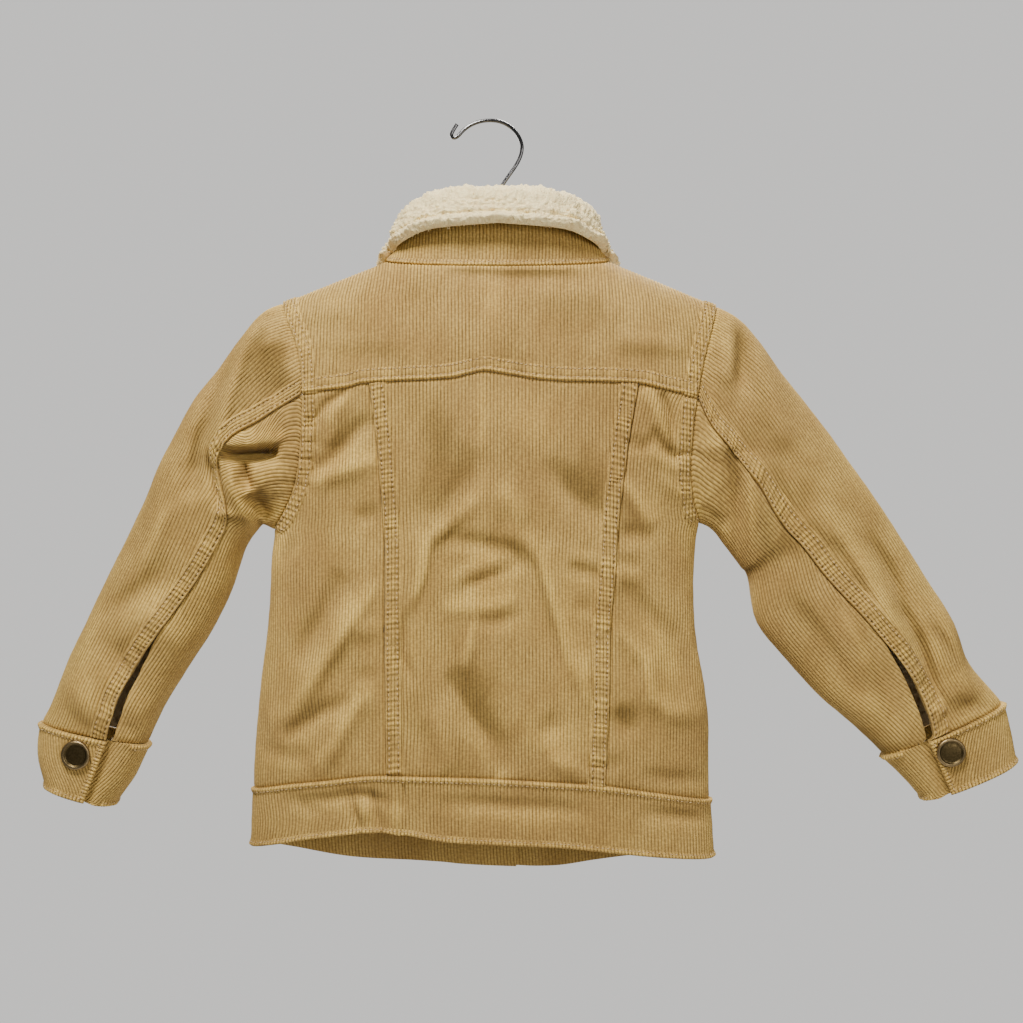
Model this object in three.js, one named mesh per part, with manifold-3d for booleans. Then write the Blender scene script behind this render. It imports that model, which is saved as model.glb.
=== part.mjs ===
// A child's corduroy trucker jacket with a sherpa collar, buttoned and hanging on a hanger.
// Millimetres. +Z is up, the wearer's front faces -Y and the wearer's left side is +X.
// The origin is the inside top of the hanger's hook, where it rests on a rod or a peg.
import * as THREE from "three";
import { mergeVertices } from "three/addons/utils/BufferGeometryUtils.js";
import Module from "manifold-3d";

const wasm = await Module();
wasm.setup();

// Driving dimensions.
const CLOTH = 2.4; // corduroy with the lining behind it
const DOUBLE_CLOTH = 3.2; // waistband and cuffs are folded double
const SEAM_GAP = 0.3; // between two pieces that are sewn together
const FACET_GAP = 0.2; // more than that where a seam is curved and its two sides are faceted apart
const FELL_RAISE = 0.8; // a flat-felled seam stands this much proud
const YOKE_FELL = 8; // the yoke's felled edge is this wide
const BACK = 1;
const FRONT = -1;
const LEFT = 1;
const RIGHT = -1;

const { PI, abs, acos, cos, exp, hypot, max, min, sign, sin, sqrt } = Math;
const lerp = (a, b, t) => a + (b - a) * t;
const clamp = (v, low = 0, high = 1) => min(high, max(low, v));
const smooth = (t) => clamp(t) ** 2 * (3 - 2 * clamp(t));
const range = (count, f = (t) => t) => Array.from({ length: count + 1 }, (_, i) => f(i / count));

// A table is rows of numbers under named columns, and the first column is the one it is read by.
function table(columns, rows) {
  const named = rows.map((row) => Object.fromEntries(columns.map((name, i) => [name, row[i]])));
  return { key: columns[0], rows: named };
}

// One column's value at a place between the rows, on a smooth curve.
function read({ key, rows }, column, at) {
  const up = rows[rows.length - 1][key] > rows[0][key] ? 1 : -1;
  let i = rows.findIndex((row) => up * (row[key] - at) > 0) - 1;
  if (i === -2) i = rows.length - 2;
  i = clamp(i, 0, rows.length - 2);
  const slope = (k) => {
    const a = rows[max(0, k - 1)];
    const b = rows[min(rows.length - 1, k + 1)];
    return (b[column] - a[column]) / (b[key] - a[key]);
  };
  const [a, b] = [rows[i], rows[i + 1]];
  const span = b[key] - a[key];
  const t = clamp((at - a[key]) / span);
  return (
    (2 * t ** 3 - 3 * t ** 2 + 1) * a[column] +
    (t ** 3 - 2 * t ** 2 + t) * span * slope(i) +
    (3 * t ** 2 - 2 * t ** 3) * b[column] +
    (t ** 3 - t ** 2) * span * slope(i + 1)
  );
}

// The body's level sections. Above the underarm the sides are where a section would end without its armholes.
const BODY = table(["z", "left", "right", "back", "front"], [
  [-90, 178, -188, 36, 27],
  [-125, 177, -189, 37, 28],
  [-160, 173, -185, 38, 30],
  [-190, 168, -179, 38, 31],
  [-215, 162, -170, 38, 31],
  [-240, 155, -158, 37, 31],
  [-260, 149, -147, 36, 31],
  [-277, 145.5, -140.5, 35.5, 31],
  [-298, 147.5, -138, 36.5, 31],
  [-325, 148.5, -137.5, 38, 31],
  [-352, 151, -139.5, 39, 31],
  [-380, 154.5, -144.5, 40, 31],
  [-407, 157, -147.5, 40.5, 31],
  [-434, 159, -147.5, 40, 31],
  [-455, 159.5, -148, 38.5, 31],
  [-495, 161, -150.5, 37.5, 31],
  [-520, 161, -150.5, 37.5, 31],
]);
const BACK_ROUND = 2.6; // exponents of the sections' rounding
const FRONT_ROUND = 2.8;
const SHOULDER_DROP = 62; // below the shoulder line the body reaches its full depth
const SHOULDER_ROUND = 0.5;

const NECK = { x: -5.4, half: 74.8, back: 31, front: 27, z: -95, backDip: 7.5, frontDip: 43 };
const TIP = { [LEFT]: { x: 140.5, z: -123.4 }, [RIGHT]: { x: -153.4, z: -125.4 } };
const UNDERARM = { [LEFT]: -277.5, [RIGHT]: -272 };

// The armhole seams on the back, and how far in front of them the front ones are scooped.
const ARMHOLE = {
  [LEFT]: table(["z", "x"], [
    [-123.4, 140.5], [-139.6, 134.2], [-153.9, 128.3], [-167.7, 124.9], [-188, 123.6], [-211.2, 124.7],
    [-230.9, 126.4], [-247.3, 129.5], [-261.8, 135.6], [-277.5, 145.5],
  ]),
  [RIGHT]: table(["z", "x"], [
    [-125.4, -153.4], [-139.6, -149.3], [-157.3, -144.1], [-171.1, -140.8], [-184.6, -138.4], [-198, -136.2],
    [-217.8, -134.2], [-234.1, -133.3], [-247.2, -134], [-260.5, -136.5], [-272, -141.4],
  ]),
};
const FRONT_SCOOP = 4;
const ARMHOLE_GAP = SEAM_GAP + 2 * FACET_GAP;

// Seams that run round the body, by their place across it.
const YOKE_SEAM = table(["x", "z"], [
  [-150, -191], [-132.4, -188], [-113.6, -184.3], [-99, -181.1], [-72.7, -179.9], [-46.4, -179.4],
  [-26.7, -177.5], [-7.1, -174.3], [2.7, -172.9], [12.5, -174.6], [25.6, -177.5], [58.4, -179.4],
  [83.5, -180.9], [91.5, -183.1], [111.4, -185.6], [140, -188.5],
]);
const WAIST_SEAM = {
  [BACK]: table(["x", "z"], [
    [-151, -458.3], [-133, -454.5], [-106.3, -449.3], [-72.8, -443.9], [-33.2, -441], [5.9, -438.8],
    [45.2, -437.7], [78.1, -437.6], [105, -441.1], [132.7, -444.9], [161, -450.8],
  ]),
  [FRONT]: table(["x", "z"], [
    [-151, -458.3], [-138, -459], [-96, -465], [-45, -472.5], [0, -472.5], [50, -469], [98, -463.5],
    [146, -452], [161, -450.8],
  ]),
};
const HEM = {
  [BACK]: table(["x", "z"], [
    [-151, -498], [-92.4, -490.7], [-48.4, -485.4], [-7.1, -483.3], [11.9, -482.4], [34.1, -480.6],
    [57.1, -476.6], [79.5, -475.8], [114.3, -480.2], [140, -485.5], [161, -490.3],
  ]),
  [FRONT]: table(["x", "z"], [
    [-151, -498], [-96.4, -504.5], [-73.6, -507.9], [-45, -512.4], [-6.6, -512.4], [50.2, -508.9],
    [98.1, -505.4], [140, -496.5], [161, -490.3],
  ]),
};

// The two long seams of the back, by height.
const LONG_SEAM = {
  [LEFT]: table(["z", "x"], [
    [-175, 79.5], [-181.9, 78.9], [-218, 74.1], [-244.3, 72], [-270.4, 70], [-296.6, 68.7], [-355, 68.7],
    [-388, 68], [-450, 67.2],
  ]),
  [RIGHT]: table(["z", "x"], [
    [-175, -98.5], [-183.7, -97.7], [-211.4, -93], [-231.1, -90.3], [-270.4, -85.7], [-309.7, -83],
    [-335.8, -80.4], [-388, -79], [-450, -76],
  ]),
};

// The buttoned front: the wearer's right side lies over the left.
const CLOSURE = { x: 1.5, reach: 19.5, lift: 1.5, ease: 13 };

// Soft ridges and troughs, from end to end, bowed sideways, with a half width and a height outwards.
const FOLD_COLUMNS = ["x0", "z0", "x1", "z1", "bow", "width", "height"];
const FOLDS = {
  [BACK]: table(FOLD_COLUMNS, [
    [14, -254, 40, -292, 3, 7, 3.2],
    [37, -284, 43, -338, 2, 7, 2.6],
    [-4, -280, -40, -299, 3, 8, 3.2],
    [-34, -292, -50, -356, -3, 8, 2.8],
    [-48, -348, -72, -420, 0, 9, 2.6],
    [68, -300, 126, -392, -5, 9, 3.2],
    [92, -372, 122, -432, 3, 10, 2.2],
    [16, -330, 8, -438, 3, 15, -3.4],
    [-26, -372, -34, -438, 0, 12, 2.2],
    [34, -372, 46, -436, 0, 11, 1.8],
    [-96, -250, -110, -282, 2, 8, 2],
    [-88, -318, -126, -432, -6, 13, 3],
    [-112, -300, -132, -392, 4, 9, -2.4],
    [-106, -184, -117, -219, 3, 4.5, -3.2],
    [-116, -214, -134, -229, 0, 5, -2.6],
    [-100, -188, -111, -220, 2, 5, 2.4],
    [96, -184, 108, -222, 0, 6, 2],
    [84, -236, 124, -242, 2, 7, 1.8],
    [110, -196, 122, -222, 0, 6, -1.8],
    [40, -106, -44, -108, -6, 7, -1.6],
    [70, -206, 20, -240, 5, 16, -1.6],
    [-30, -205, -70, -262, 6, 15, -1.8],
    [112, -458, 78, -468, 0, 7, -1.8],
    [60, -452, 54, -484, 0, 9, 2],
    [-98, -462, -146, -470, 0, 6, -1.8],
  ]),
  [FRONT]: table(FOLD_COLUMNS, [
    [120, -170, 66, -236, 6, 9, 2.4],
    [-128, -172, -70, -244, -6, 9, 2.4],
    [136, -262, 80, -300, -5, 9, 2.6],
    [-130, -260, -84, -312, 5, 10, 2.6],
    [96, -318, 118, -432, 6, 12, 2.8],
    [-78, -330, -108, -440, -6, 12, 2.8],
    [48, -300, 56, -440, 4, 14, -2.4],
    [-44, -290, -48, -430, -4, 14, -2.6],
    [128, -330, 140, -430, 2, 9, -2],
  ]),
};

// The height that a table's folds give at one place.
function foldHeight(folds, x, z) {
  return folds.rows.reduce((sum, fold) => {
    const [alongX, alongZ] = [fold.x1 - fold.x0, fold.z1 - fold.z0];
    const length = hypot(alongX, alongZ);
    const t = clamp(((x - fold.x0) * alongX + (z - fold.z0) * alongZ) / length ** 2);
    const aside = ((x - fold.x0) * alongZ - (z - fold.z0) * alongX) / length - fold.bow * 4 * t * (1 - t);
    return sum + fold.height * sin(PI * t) ** 0.7 * exp(-((aside / fold.width) ** 2));
  }, 0);
}

// The body's top edge: the neck seam in the middle and the shoulder seam beside it.
function topEdge(side, x) {
  const across = (x - NECK.x) / NECK.half;
  if (abs(across) < 1) {
    const round = sqrt(1 - across ** 2);
    const dip = side === BACK ? NECK.backDip * round : NECK.frontDip * round ** 2;
    return { z: NECK.z - dip, y: (side === BACK ? NECK.back : NECK.front) * round };
  }
  const tip = TIP[x > NECK.x ? LEFT : RIGHT];
  const neckPoint = NECK.x + sign(across) * NECK.half;
  return { z: lerp(NECK.z, tip.z, (x - neckPoint) / (tip.x - neckPoint)), y: 0 };
}

// How far the cloth stands from the plane of the hanger, on one side of the body.
function depth(side, x, z) {
  const [left, right] = [read(BODY, "left", z), read(BODY, "right", z)];
  const across = clamp(abs(x - (left + right) / 2) / ((left - right) / 2));
  const round = side === BACK ? BACK_ROUND : FRONT_ROUND;
  const body = read(BODY, side === BACK ? "back" : "front", z) * (1 - across ** round) ** (1 / round);
  const top = topEdge(side, x);
  const below = clamp((top.z - z) / SHOULDER_DROP);
  const plain = lerp(top.y, body, (1 - (1 - below) ** 2) ** SHOULDER_ROUND);
  return plain + foldHeight(FOLDS[side], x, z) * clamp((plain - 4) / 14);
}

const facing = (side, x, z) => {
  const step = 0.05;
  const slopeX = (depth(side, x + step, z) - depth(side, x - step, z)) / (2 * step);
  const slopeZ = (depth(side, x, z + step) - depth(side, x, z - step)) / (2 * step);
  return new THREE.Vector3(-slopeX, side, -slopeZ).normalize();
};

// Along the shoulder seam the cloth faces straight up from it.
function shoulderFacing(hand) {
  const [alongX, alongZ] = [TIP[hand].x - (NECK.x + hand * NECK.half), TIP[hand].z - NECK.z];
  return new THREE.Vector3(-alongZ * hand, 0, alongX * hand).normalize();
}

const bodyPoint = (side, x, z, apart = SEAM_GAP / 2) =>
  new THREE.Vector3(x, side * max(depth(side, x, z), apart), z);

const armholeX = (hand, side, z) => {
  const down = clamp((TIP[hand].z - z) / (TIP[hand].z - UNDERARM[hand]));
  return read(ARMHOLE[hand], "x", z) - (side === FRONT ? hand * FRONT_SCOOP * sin(PI * down) : 0);
};

// Both the body and the sleeve have this direction where they are sewn together.
function armholeFacing(hand, side, z) {
  const middle = (TIP[hand].z + UNDERARM[hand]) / 2;
  const up = clamp((z - middle) / (TIP[hand].z - middle), -1, 1);
  return new THREE.Vector3(0, side * sqrt(max(0, 1 - up ** 2)), up * 0.9).normalize();
}

// The outer edge of a body panel: its armhole, and below that its side.
const bodyEdge = (hand, side, z) =>
  z > UNDERARM[hand] ? armholeX(hand, side, z) : read(BODY, hand === LEFT ? "left" : "right", z);

// A closed wall over a grid of columns and rows, from its outer and inner points.
function wall(columns, rows, place, ring = false) {
  const across = columns.length;
  const points = rows.flatMap((v) => columns.map((u) => place(u, v)));
  const faces = [...points.map((p) => p.outer), ...points.map((p) => p.inner)];
  const positions = faces.flatMap((p) => p.toArray());
  const index = [];
  const quad = (a, b, c, d) => index.push(a, b, c, a, c, d);
  const under = points.length;
  const last = rows.length - 1;
  const spans = ring ? across : across - 1;
  for (let j = 0; j < last; j++)
    for (let i = 0; i < spans; i++) {
      const [a, b] = [j * across + i, j * across + ((i + 1) % across)];
      quad(a, b, b + across, a + across);
      quad(under + a, under + a + across, under + b + across, under + b);
    }
  for (let i = 0; i < spans; i++) {
    const [a, b] = [i, (i + 1) % across];
    const [c, d] = [last * across + a, last * across + b];
    quad(a, under + a, under + b, b);
    quad(c, d, under + d, under + c);
  }
  if (!ring)
    for (let j = 0; j < last; j++) {
      const [a, b] = [j * across, (j + 1) * across];
      const [c, d] = [a + across - 1, b + across - 1];
      quad(a, b, under + b, under + a);
      quad(c, under + c, under + d, d);
    }
  const geometry = new THREE.BufferGeometry();
  geometry.setAttribute("position", new THREE.BufferAttribute(new Float32Array(positions), 3));
  geometry.setIndex(signedVolume(positions, index) < 0 ? index.reverse() : index);
  return geometry;
}

function signedVolume(positions, index) {
  const corner = (k) => new THREE.Vector3().fromArray(positions, 3 * index[k]);
  let sum = 0;
  for (let k = 0; k < index.length; k += 3) sum += corner(k).dot(corner(k + 1).cross(corner(k + 2)));
  return sum / 6;
}

const bothFaces = (point, normal, raise, thickness) => ({
  outer: point.clone().addScaledVector(normal, raise),
  inner: point.clone().addScaledVector(normal, -thickness),
});

// The place at a share across and a share down between a panel's four edges.
function settle(edge, across, down) {
  let z = lerp(edge.top(0), edge.bottom(0), down);
  let x = 0;
  for (let turn = 0; turn < 12; turn++) {
    x = lerp(edge.from(z), edge.to(z), across);
    z = lerp(edge.top(x), edge.bottom(x), down);
  }
  return [x, z];
}

// A body panel between two edges that run down and two that run across.
function bodyPanel(side, edge, columns, rows, { raise = () => 0, thickness = CLOTH, shift = () => 0 } = {}) {
  return wall(columns, rows, (s, v) => {
    const [x, z] = settle(edge, s, v);
    const hand = x > 0 ? LEFT : RIGHT;
    const onArmhole = edge.armhole?.(s) && z > UNDERARM[hand];
    const onShoulder = v === 0 && edge.top === SHOULDER[side] && abs(x - NECK.x) > NECK.half;
    const normal = onShoulder
      ? shoulderFacing(hand)
      : onArmhole
        ? armholeFacing(hand, side, z)
        : facing(side, x, z);
    const cutLevel = v === 1 || (v === 0 && edge.top !== SHOULDER[side]);
    if (cutLevel) normal.setZ(0).normalize();
    const moved = shift(x, z);
    return bothFaces(bodyPoint(side, x, z), normal, moved + raise(x, z, s, v), thickness - moved);
  });
}

const inset = SEAM_GAP / 2;
const SHOULDER = { [BACK]: (x) => topEdge(BACK, x).z, [FRONT]: (x) => topEdge(FRONT, x).z };
const seamZ = (seam, gap) => (x) => read(seam, "z", x) + gap;
const seamX = (seam, gap) => (z) => read(seam, "x", z) + gap;
const sideX = (hand, side) => (z) => bodyEdge(hand, side, z);
const nearEdge = (distance, wide) => 1 - smooth((distance - wide) / 1.5);

const backRows = range(20);

// Where columns of points cross the yoke seam on the centre panel: close together at the felled seams and
// under the neck's corners, with one at the seam's peak.
const CENTRE_COLUMNS = [
  -86, -83.8, -73.2, -68.6, -58, -43, -28, -13, 2.7, 17, 31, 45, 55.6, 60.2, 67, 69.2,
];

function centrePanel() {
  const edge = {
    from: seamX(LONG_SEAM[RIGHT], inset),
    to: seamX(LONG_SEAM[LEFT], -inset),
    top: seamZ(YOKE_SEAM, -inset),
    bottom: seamZ(WAIST_SEAM[BACK], inset),
  };
  const [from] = settle(edge, 0, 0);
  const [to] = settle(edge, 1, 0);
  return { edge, columns: [0, ...CENTRE_COLUMNS.map((x) => (x - from) / (to - from)), 1] };
}

function backCentre() {
  const { edge, columns } = centrePanel();
  const raise = (x, z, s) => FELL_RAISE * (s <= columns[1] || s >= columns.at(-2) ? 1 : 0);
  return bodyPanel(BACK, edge, columns, backRows, { raise });
}

function sidePanel(hand) {
  const seam = seamX(LONG_SEAM[hand], hand * inset);
  const columns = range(7, (t) => 1 - (1 - t) ** 1.7);
  return {
    edge: {
      from: hand === LEFT ? seam : sideX(hand, BACK),
      to: hand === LEFT ? sideX(hand, BACK) : seam,
      top: seamZ(YOKE_SEAM, -inset),
      bottom: seamZ(WAIST_SEAM[BACK], inset),
      armhole: (s) => s === (hand === LEFT ? 1 : 0),
    },
    columns: hand === LEFT ? columns : columns.map((s) => 1 - s).reverse(),
  };
}

function backSide(hand) {
  const { edge, columns } = sidePanel(hand);
  return bodyPanel(BACK, edge, columns, backRows);
}

// Back yoke, from the shoulder and neck down to its shaped seam. Its columns meet those of the panels below.
function yoke() {
  const edge = {
    from: sideX(RIGHT, BACK),
    to: sideX(LEFT, BACK),
    top: SHOULDER[BACK],
    bottom: seamZ(YOKE_SEAM, inset),
    armhole: (s) => s === 0 || s === 1,
  };
  const below = [sidePanel(RIGHT), centrePanel(), sidePanel(LEFT)].map(({ edge: lower, columns }) =>
    columns.map((s) => settle(lower, s, 0)[0]),
  );
  const shares = [...below[0].slice(1, -1), ...below[1], ...below[2].slice(1, -1)].map((x) => {
    const z = edge.bottom(x);
    return (x - edge.from(z)) / (edge.to(z) - edge.from(z));
  });
  const raise = (x, z) => FELL_RAISE * nearEdge(z - read(YOKE_SEAM, "z", x), YOKE_FELL);
  const rows = [0, 0.03, 0.1, 0.21, 0.36, 0.56, 0.86, 0.885, 1];
  return bodyPanel(BACK, edge, [0, ...shares, 1], rows, { raise });
}

// How far the closure lifts the upper front and sinks the lower one, so that they lie on each other.
function closureShift(hand, x) {
  const past = hand === RIGHT ? x - (CLOSURE.x - CLOSURE.reach) : CLOSURE.x + CLOSURE.reach - x;
  return -hand * CLOSURE.lift * smooth((past + CLOSURE.ease) / CLOSURE.ease);
}

function frontPanel(hand) {
  const centreEdge = CLOSURE.x - hand * CLOSURE.reach;
  const edge = {
    from: sideX(hand, FRONT),
    to: () => centreEdge,
    top: SHOULDER[FRONT],
    bottom: seamZ(WAIST_SEAM[FRONT], inset),
    armhole: (s) => s === 0,
  };
  const corner = (TIP[hand].x - NECK.x - hand * NECK.half) / (TIP[hand].x - centreEdge);
  const columns = [...range(5, (t) => corner * t ** 1.3), ...range(6, (t) => lerp(corner + 0.03, 1, t))];
  const rows = [0, 0.004, 0.014, 0.034, 0.065, 0.1, ...range(17, (t) => lerp(0.14, 1, t))];
  return bodyPanel(FRONT, edge, columns, rows, { shift: (x) => closureShift(hand, x) });
}

// One double strip from the upper front edge round the back to the lower front edge. It stands proud of the
// panels, and its ends lift a little more than the fronts do.
const WAISTBAND = { raise: 0.8, lap: 1.2 };
function waistband() {
  const parts = [
    { side: FRONT, from: CLOSURE.x + CLOSURE.reach, to: -1, hand: RIGHT, count: 13 },
    { side: BACK, from: -1, to: 1, hand: 0, count: 26 },
    { side: FRONT, from: 1, to: CLOSURE.x - CLOSURE.reach, hand: LEFT, count: 13 },
  ];
  const columns = parts.flatMap((part, k) => range(part.count).slice(k ? 1 : 0).map((t) => k + t));
  return wall(columns, range(3), (u, v) => {
    const k = clamp(Math.ceil(u) - 1, 0, 2);
    const part = parts[k];
    const t = u - k;
    const place = (z) => {
      const [left, right] = [read(BODY, "left", z), read(BODY, "right", z)];
      if (part.side === BACK) return lerp((left + right) / 2, left, -cos(PI * t));
      const outer = part.hand === LEFT ? left : right;
      const quarter = (PI / 2) * t;
      return k === 0 ? lerp(part.from, outer, sin(quarter)) : lerp(outer, part.to, 1 - cos(quarter));
    };
    const ends = (x) => {
      const top = read(WAIST_SEAM[part.side], "z", x) - inset - 2 * FACET_GAP;
      return [top, read(HEM[part.side], "z", x)];
    };
    let x = place(-470);
    let z = 0;
    for (let turn = 0; turn < 4; turn++) {
      z = lerp(...ends(x), v);
      x = place(z);
    }
    const onSide = depth(part.side, x, z) < 1;
    const normal = onSide ? new THREE.Vector3(sign(x), 0, 0) : facing(part.side, x, z);
    if (v === 0) normal.setZ(0).normalize();
    const moved = part.side === FRONT ? closureShift(part.hand, x) * WAISTBAND.lap : 0;
    const raise = moved + WAISTBAND.raise;
    return bothFaces(bodyPoint(part.side, x, z, 0), normal, raise, DOUBLE_CLOTH - raise);
  });
}

// Sleeves: sections that fan out round the underarm. Each runs from a point on the outer outline to one on
// the inner, with its half depth to the back and front, and the share of its width where the back seam lies.
const SLEEVE_COLUMNS = ["n", "outX", "outZ", "inX", "inZ", "back", "front", "seam"];
const SLEEVE = {
  [LEFT]: table(SLEEVE_COLUMNS, [
    [0, 140.5, -123.4, 145.5, -277.5, 31, 31, 0.41],
    [1, 155, -130.6, 149, -275.5, 32, 31, 0.45],
    [2, 170, -149, 152, -274, 33, 32, 0.47],
    [3, 183.6, -168.6, 154.5, -273.5, 33, 32, 0.46],
    [4, 199.9, -189, 157, -275.5, 33, 32, 0.46],
    [5, 212.2, -211.5, 160, -279.5, 32, 32, 0.58],
    [6, 223, -232, 163.5, -284, 32, 32, 0.72],
    [7, 233.2, -257, 168, -293, 32, 32, 0.78],
    [8, 246.1, -284.2, 176.1, -318.2, 31, 31, 0.74],
    [9, 259.7, -311.4, 189, -344.8, 30, 30, 0.7],
    [10, 272.6, -338.6, 206, -371.3, 29, 29, 0.66],
    [11, 285.6, -365.8, 221.7, -397, 28, 28, 0.66],
    [12, 295.5, -392, 231.5, -418, 26, 26, 0.69],
    [13, 303, -406.5, 232.5, -421.6, 25, 25, 0.7],
  ]),
  [RIGHT]: table(SLEEVE_COLUMNS, [
    [0, -153.4, -125.4, -141.4, -272, 31, 31, 0.43],
    [1, -168.6, -134, -146, -273.5, 31, 30, 0.47],
    [2, -181.6, -148.3, -150, -276, 30, 29, 0.53],
    [3, -195.2, -168, -154.5, -280.5, 29, 28, 0.59],
    [4, -210.8, -187.7, -159.5, -287.5, 28, 27, 0.6],
    [5, -227.8, -209.4, -165.2, -295, 27, 26, 0.6],
    [6, -244.8, -233.2, -170.7, -302.6, 26, 25, 0.6],
    [7, -261.8, -257, -175.5, -309.5, 25, 24, 0.6],
    [8, -279.5, -284.2, -181.6, -340, 25, 24, 0.51],
    [9, -296.5, -311.4, -202.6, -366.5, 25, 24, 0.49],
    [10, -313.5, -338.6, -224.4, -390.3, 25, 24, 0.48],
    [11, -323.7, -365.8, -247.5, -410, 24, 24, 0.5],
    [12, -341.4, -387.6, -265.2, -427, 22, 22, 0.62],
    [13, -347, -394, -266.5, -429.5, 21.5, 21.5, 0.68],
  ]),
};
const CUFF = {
  [LEFT]: table(SLEEVE_COLUMNS, [
    [0, 303, -406.5, 232.5, -421.6, 25, 25, 0.7],
    [1, 304.5, -428, 243, -444, 24, 24, 0.69],
    [2, 299, -450, 256.5, -463, 23, 23, 0.68],
  ]),
  [RIGHT]: table(SLEEVE_COLUMNS, [
    [0, -347, -394, -266.5, -429.5, 21.5, 21.5, 0.68],
    [1, -351.5, -413, -281.5, -444, 20.5, 20.5, 0.73],
    [2, -355.5, -434.5, -295.5, -459.5, 19.5, 19.5, 0.78],
  ]),
};
const SLEEVE_ROUND = 2.3;
const SLEEVE_BLEND = 3.2; // sections over which the armhole's outline turns into the sleeve's own
const FRONT_SLEEVE_SEAM = 0.78;
const VENT = { from: 9.6, gap: 4.6 }; // the cuff's slit opens from this section down

const SLEEVE_FOLDS = {
  [LEFT]: {
    [BACK]: table(FOLD_COLUMNS, [
      [181, -229, 136, -223, -1, 5, -7],
      [160, -230, 150, -276, -2, 5.5, -7],
      [170, -230, 160, -290, -2, 6, 3.5],
      [184, -228, 192, -262, 0, 6, 2.5],
      [162, -152, 186, -232, -3, 7, 3],
      [176, -150, 200, -256, -4, 9, -4],
      [150, -138, 140, -206, 3, 7, -2.5],
      [208, -300, 262, -336, 3, 9, -2],
      [236, -322, 190, -366, -2, 8, 1.8],
      [262, -344, 226, -392, 3, 8, -2.2],
      [278, -372, 248, -412, 0, 7, 1.8],
      [156, -240, 132, -243, 0, 4, 2],
    ]),
    [FRONT]: table(FOLD_COLUMNS, [
      [176, -160, 204, -262, -4, 10, -3.5],
      [186, -228, 140, -222, 0, 6, -5],
      [232, -296, 196, -330, 0, 8, 2.4],
      [262, -344, 226, -392, 3, 8, -2.2],
    ]),
  },
  [RIGHT]: {
    [BACK]: table(FOLD_COLUMNS, [
      [-171, -140, -170, -208, 2, 6.5, -4.4],
      [-178, -140, -186, -226, -2, 8, 2.6],
      [-164, -232, -169, -302, 1, 7, -5.5],
      [-174, -236, -180, -310, 0, 6.5, 3.2],
      [-152, -210, -158, -268, 0, 7, 2],
      [-252, -280, -280, -340, 4, 7, -3.6],
      [-274, -326, -300, -392, 3, 6.5, -5],
      [-246, -300, -286, -372, 3, 8, 3.2],
      [-300, -322, -316, -384, 0, 7, 2.6],
      [-214, -262, -252, -314, 4, 10, 1.8],
      [-198, -300, -252, -378, -3, 12, 2],
      [-246, -346, -274, -414, 2, 8, -2.4],
      [-318, -366, -340, -392, 0, 5, -2.4],
      [-306, -388, -330, -378, 0, 5, 2],
    ]),
    [FRONT]: table(FOLD_COLUMNS, [
      [-172, -146, -182, -232, 2, 8, -3.4],
      [-164, -236, -169, -300, 1, 8, -4],
      [-246, -300, -286, -372, 3, 9, 2.6],
      [-220, -272, -262, -330, 4, 10, -2.4],
    ]),
  },
};

// The angle round a section at which a given share of its width is reached, counted from the outer outline.
const angleAt = (share) => {
  const across = 1 - 2 * share;
  return acos(sign(across) * abs(across) ** (SLEEVE_ROUND / 2));
};

// A point of a section. Angle 0 is the outer outline, a quarter turn the back, a half turn the inner outline.
function sectionPoint(rows, n, angle) {
  const part = (column) => read(rows, column, n);
  const round = (v) => sign(v) * abs(v) ** (2 / SLEEVE_ROUND);
  const share = (1 - round(cos(angle))) / 2;
  const side = sin(angle) >= 0 ? BACK : FRONT;
  const y = round(sin(angle)) * part(side === BACK ? "back" : "front");
  return new THREE.Vector3(lerp(part("outX"), part("inX"), share), y, lerp(part("outZ"), part("inZ"), share));
}

// The armhole's own outline at the same angle.
function armholePoint(hand, angle) {
  const share = (1 - sign(cos(angle)) * abs(cos(angle)) ** (2 / SLEEVE_ROUND)) / 2;
  const side = sin(angle) >= 0 ? BACK : FRONT;
  const z = lerp(TIP[hand].z, UNDERARM[hand], share);
  const x = armholeX(hand, side, z);
  return bodyPoint(side, x, z, 0).setX(x + hand * ARMHOLE_GAP);
}

function sleevePoint(hand, n, angle) {
  const rows = SLEEVE[hand];
  const point = sectionPoint(rows, n, angle);
  const turn = armholePoint(hand, angle).sub(sectionPoint(rows, 0, angle));
  point.addScaledVector(turn, 1 - smooth(n / SLEEVE_BLEND));
  const side = sin(angle) >= 0 ? BACK : FRONT;
  const keep = smooth(n / 0.8) * abs(sin(angle)) ** 0.8;
  point.y += side * keep * foldHeight(SLEEVE_FOLDS[hand][side], point.x, point.z);
  return point;
}

// A surface's outward direction by small steps in both of its measures, pointing away from a centre.
function facingOf(surface, u, v, centre, steps = [0.02, 0.01]) {
  const along = surface(u + steps[0], v).sub(surface(u - steps[0], v));
  const round = surface(u, v + steps[1]).sub(surface(u, v - steps[1]));
  const normal = along.cross(round).normalize();
  return normal.dot(surface(u, v).sub(centre)) < 0 ? normal.negate() : normal;
}

function sleeveFace(hand, n, angle) {
  if (n === 0) {
    const side = sin(angle) >= 0 ? BACK : FRONT;
    return armholeFacing(hand, side, armholePoint(hand, angle).z);
  }
  const centre = sectionPoint(SLEEVE[hand], n, 0).add(sectionPoint(SLEEVE[hand], n, PI)).multiplyScalar(0.5);
  const normal = facingOf((a, b) => sleevePoint(hand, a, b), clamp(n, 0.05, 12.95), angle, centre);
  return n > SLEEVE_END - 0.1 ? flatInSection(SLEEVE[hand], n, normal) : normal;
}

// A direction without its part along the sleeve, so that a wall ends in its section's own plane.
function flatInSection(rows, n, normal) {
  const across = sectionPoint(rows, n, PI).sub(sectionPoint(rows, n, 0));
  return normal.projectOnPlane(new THREE.Vector3(-across.z, 0, across.x).normalize()).normalize();
}

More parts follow.
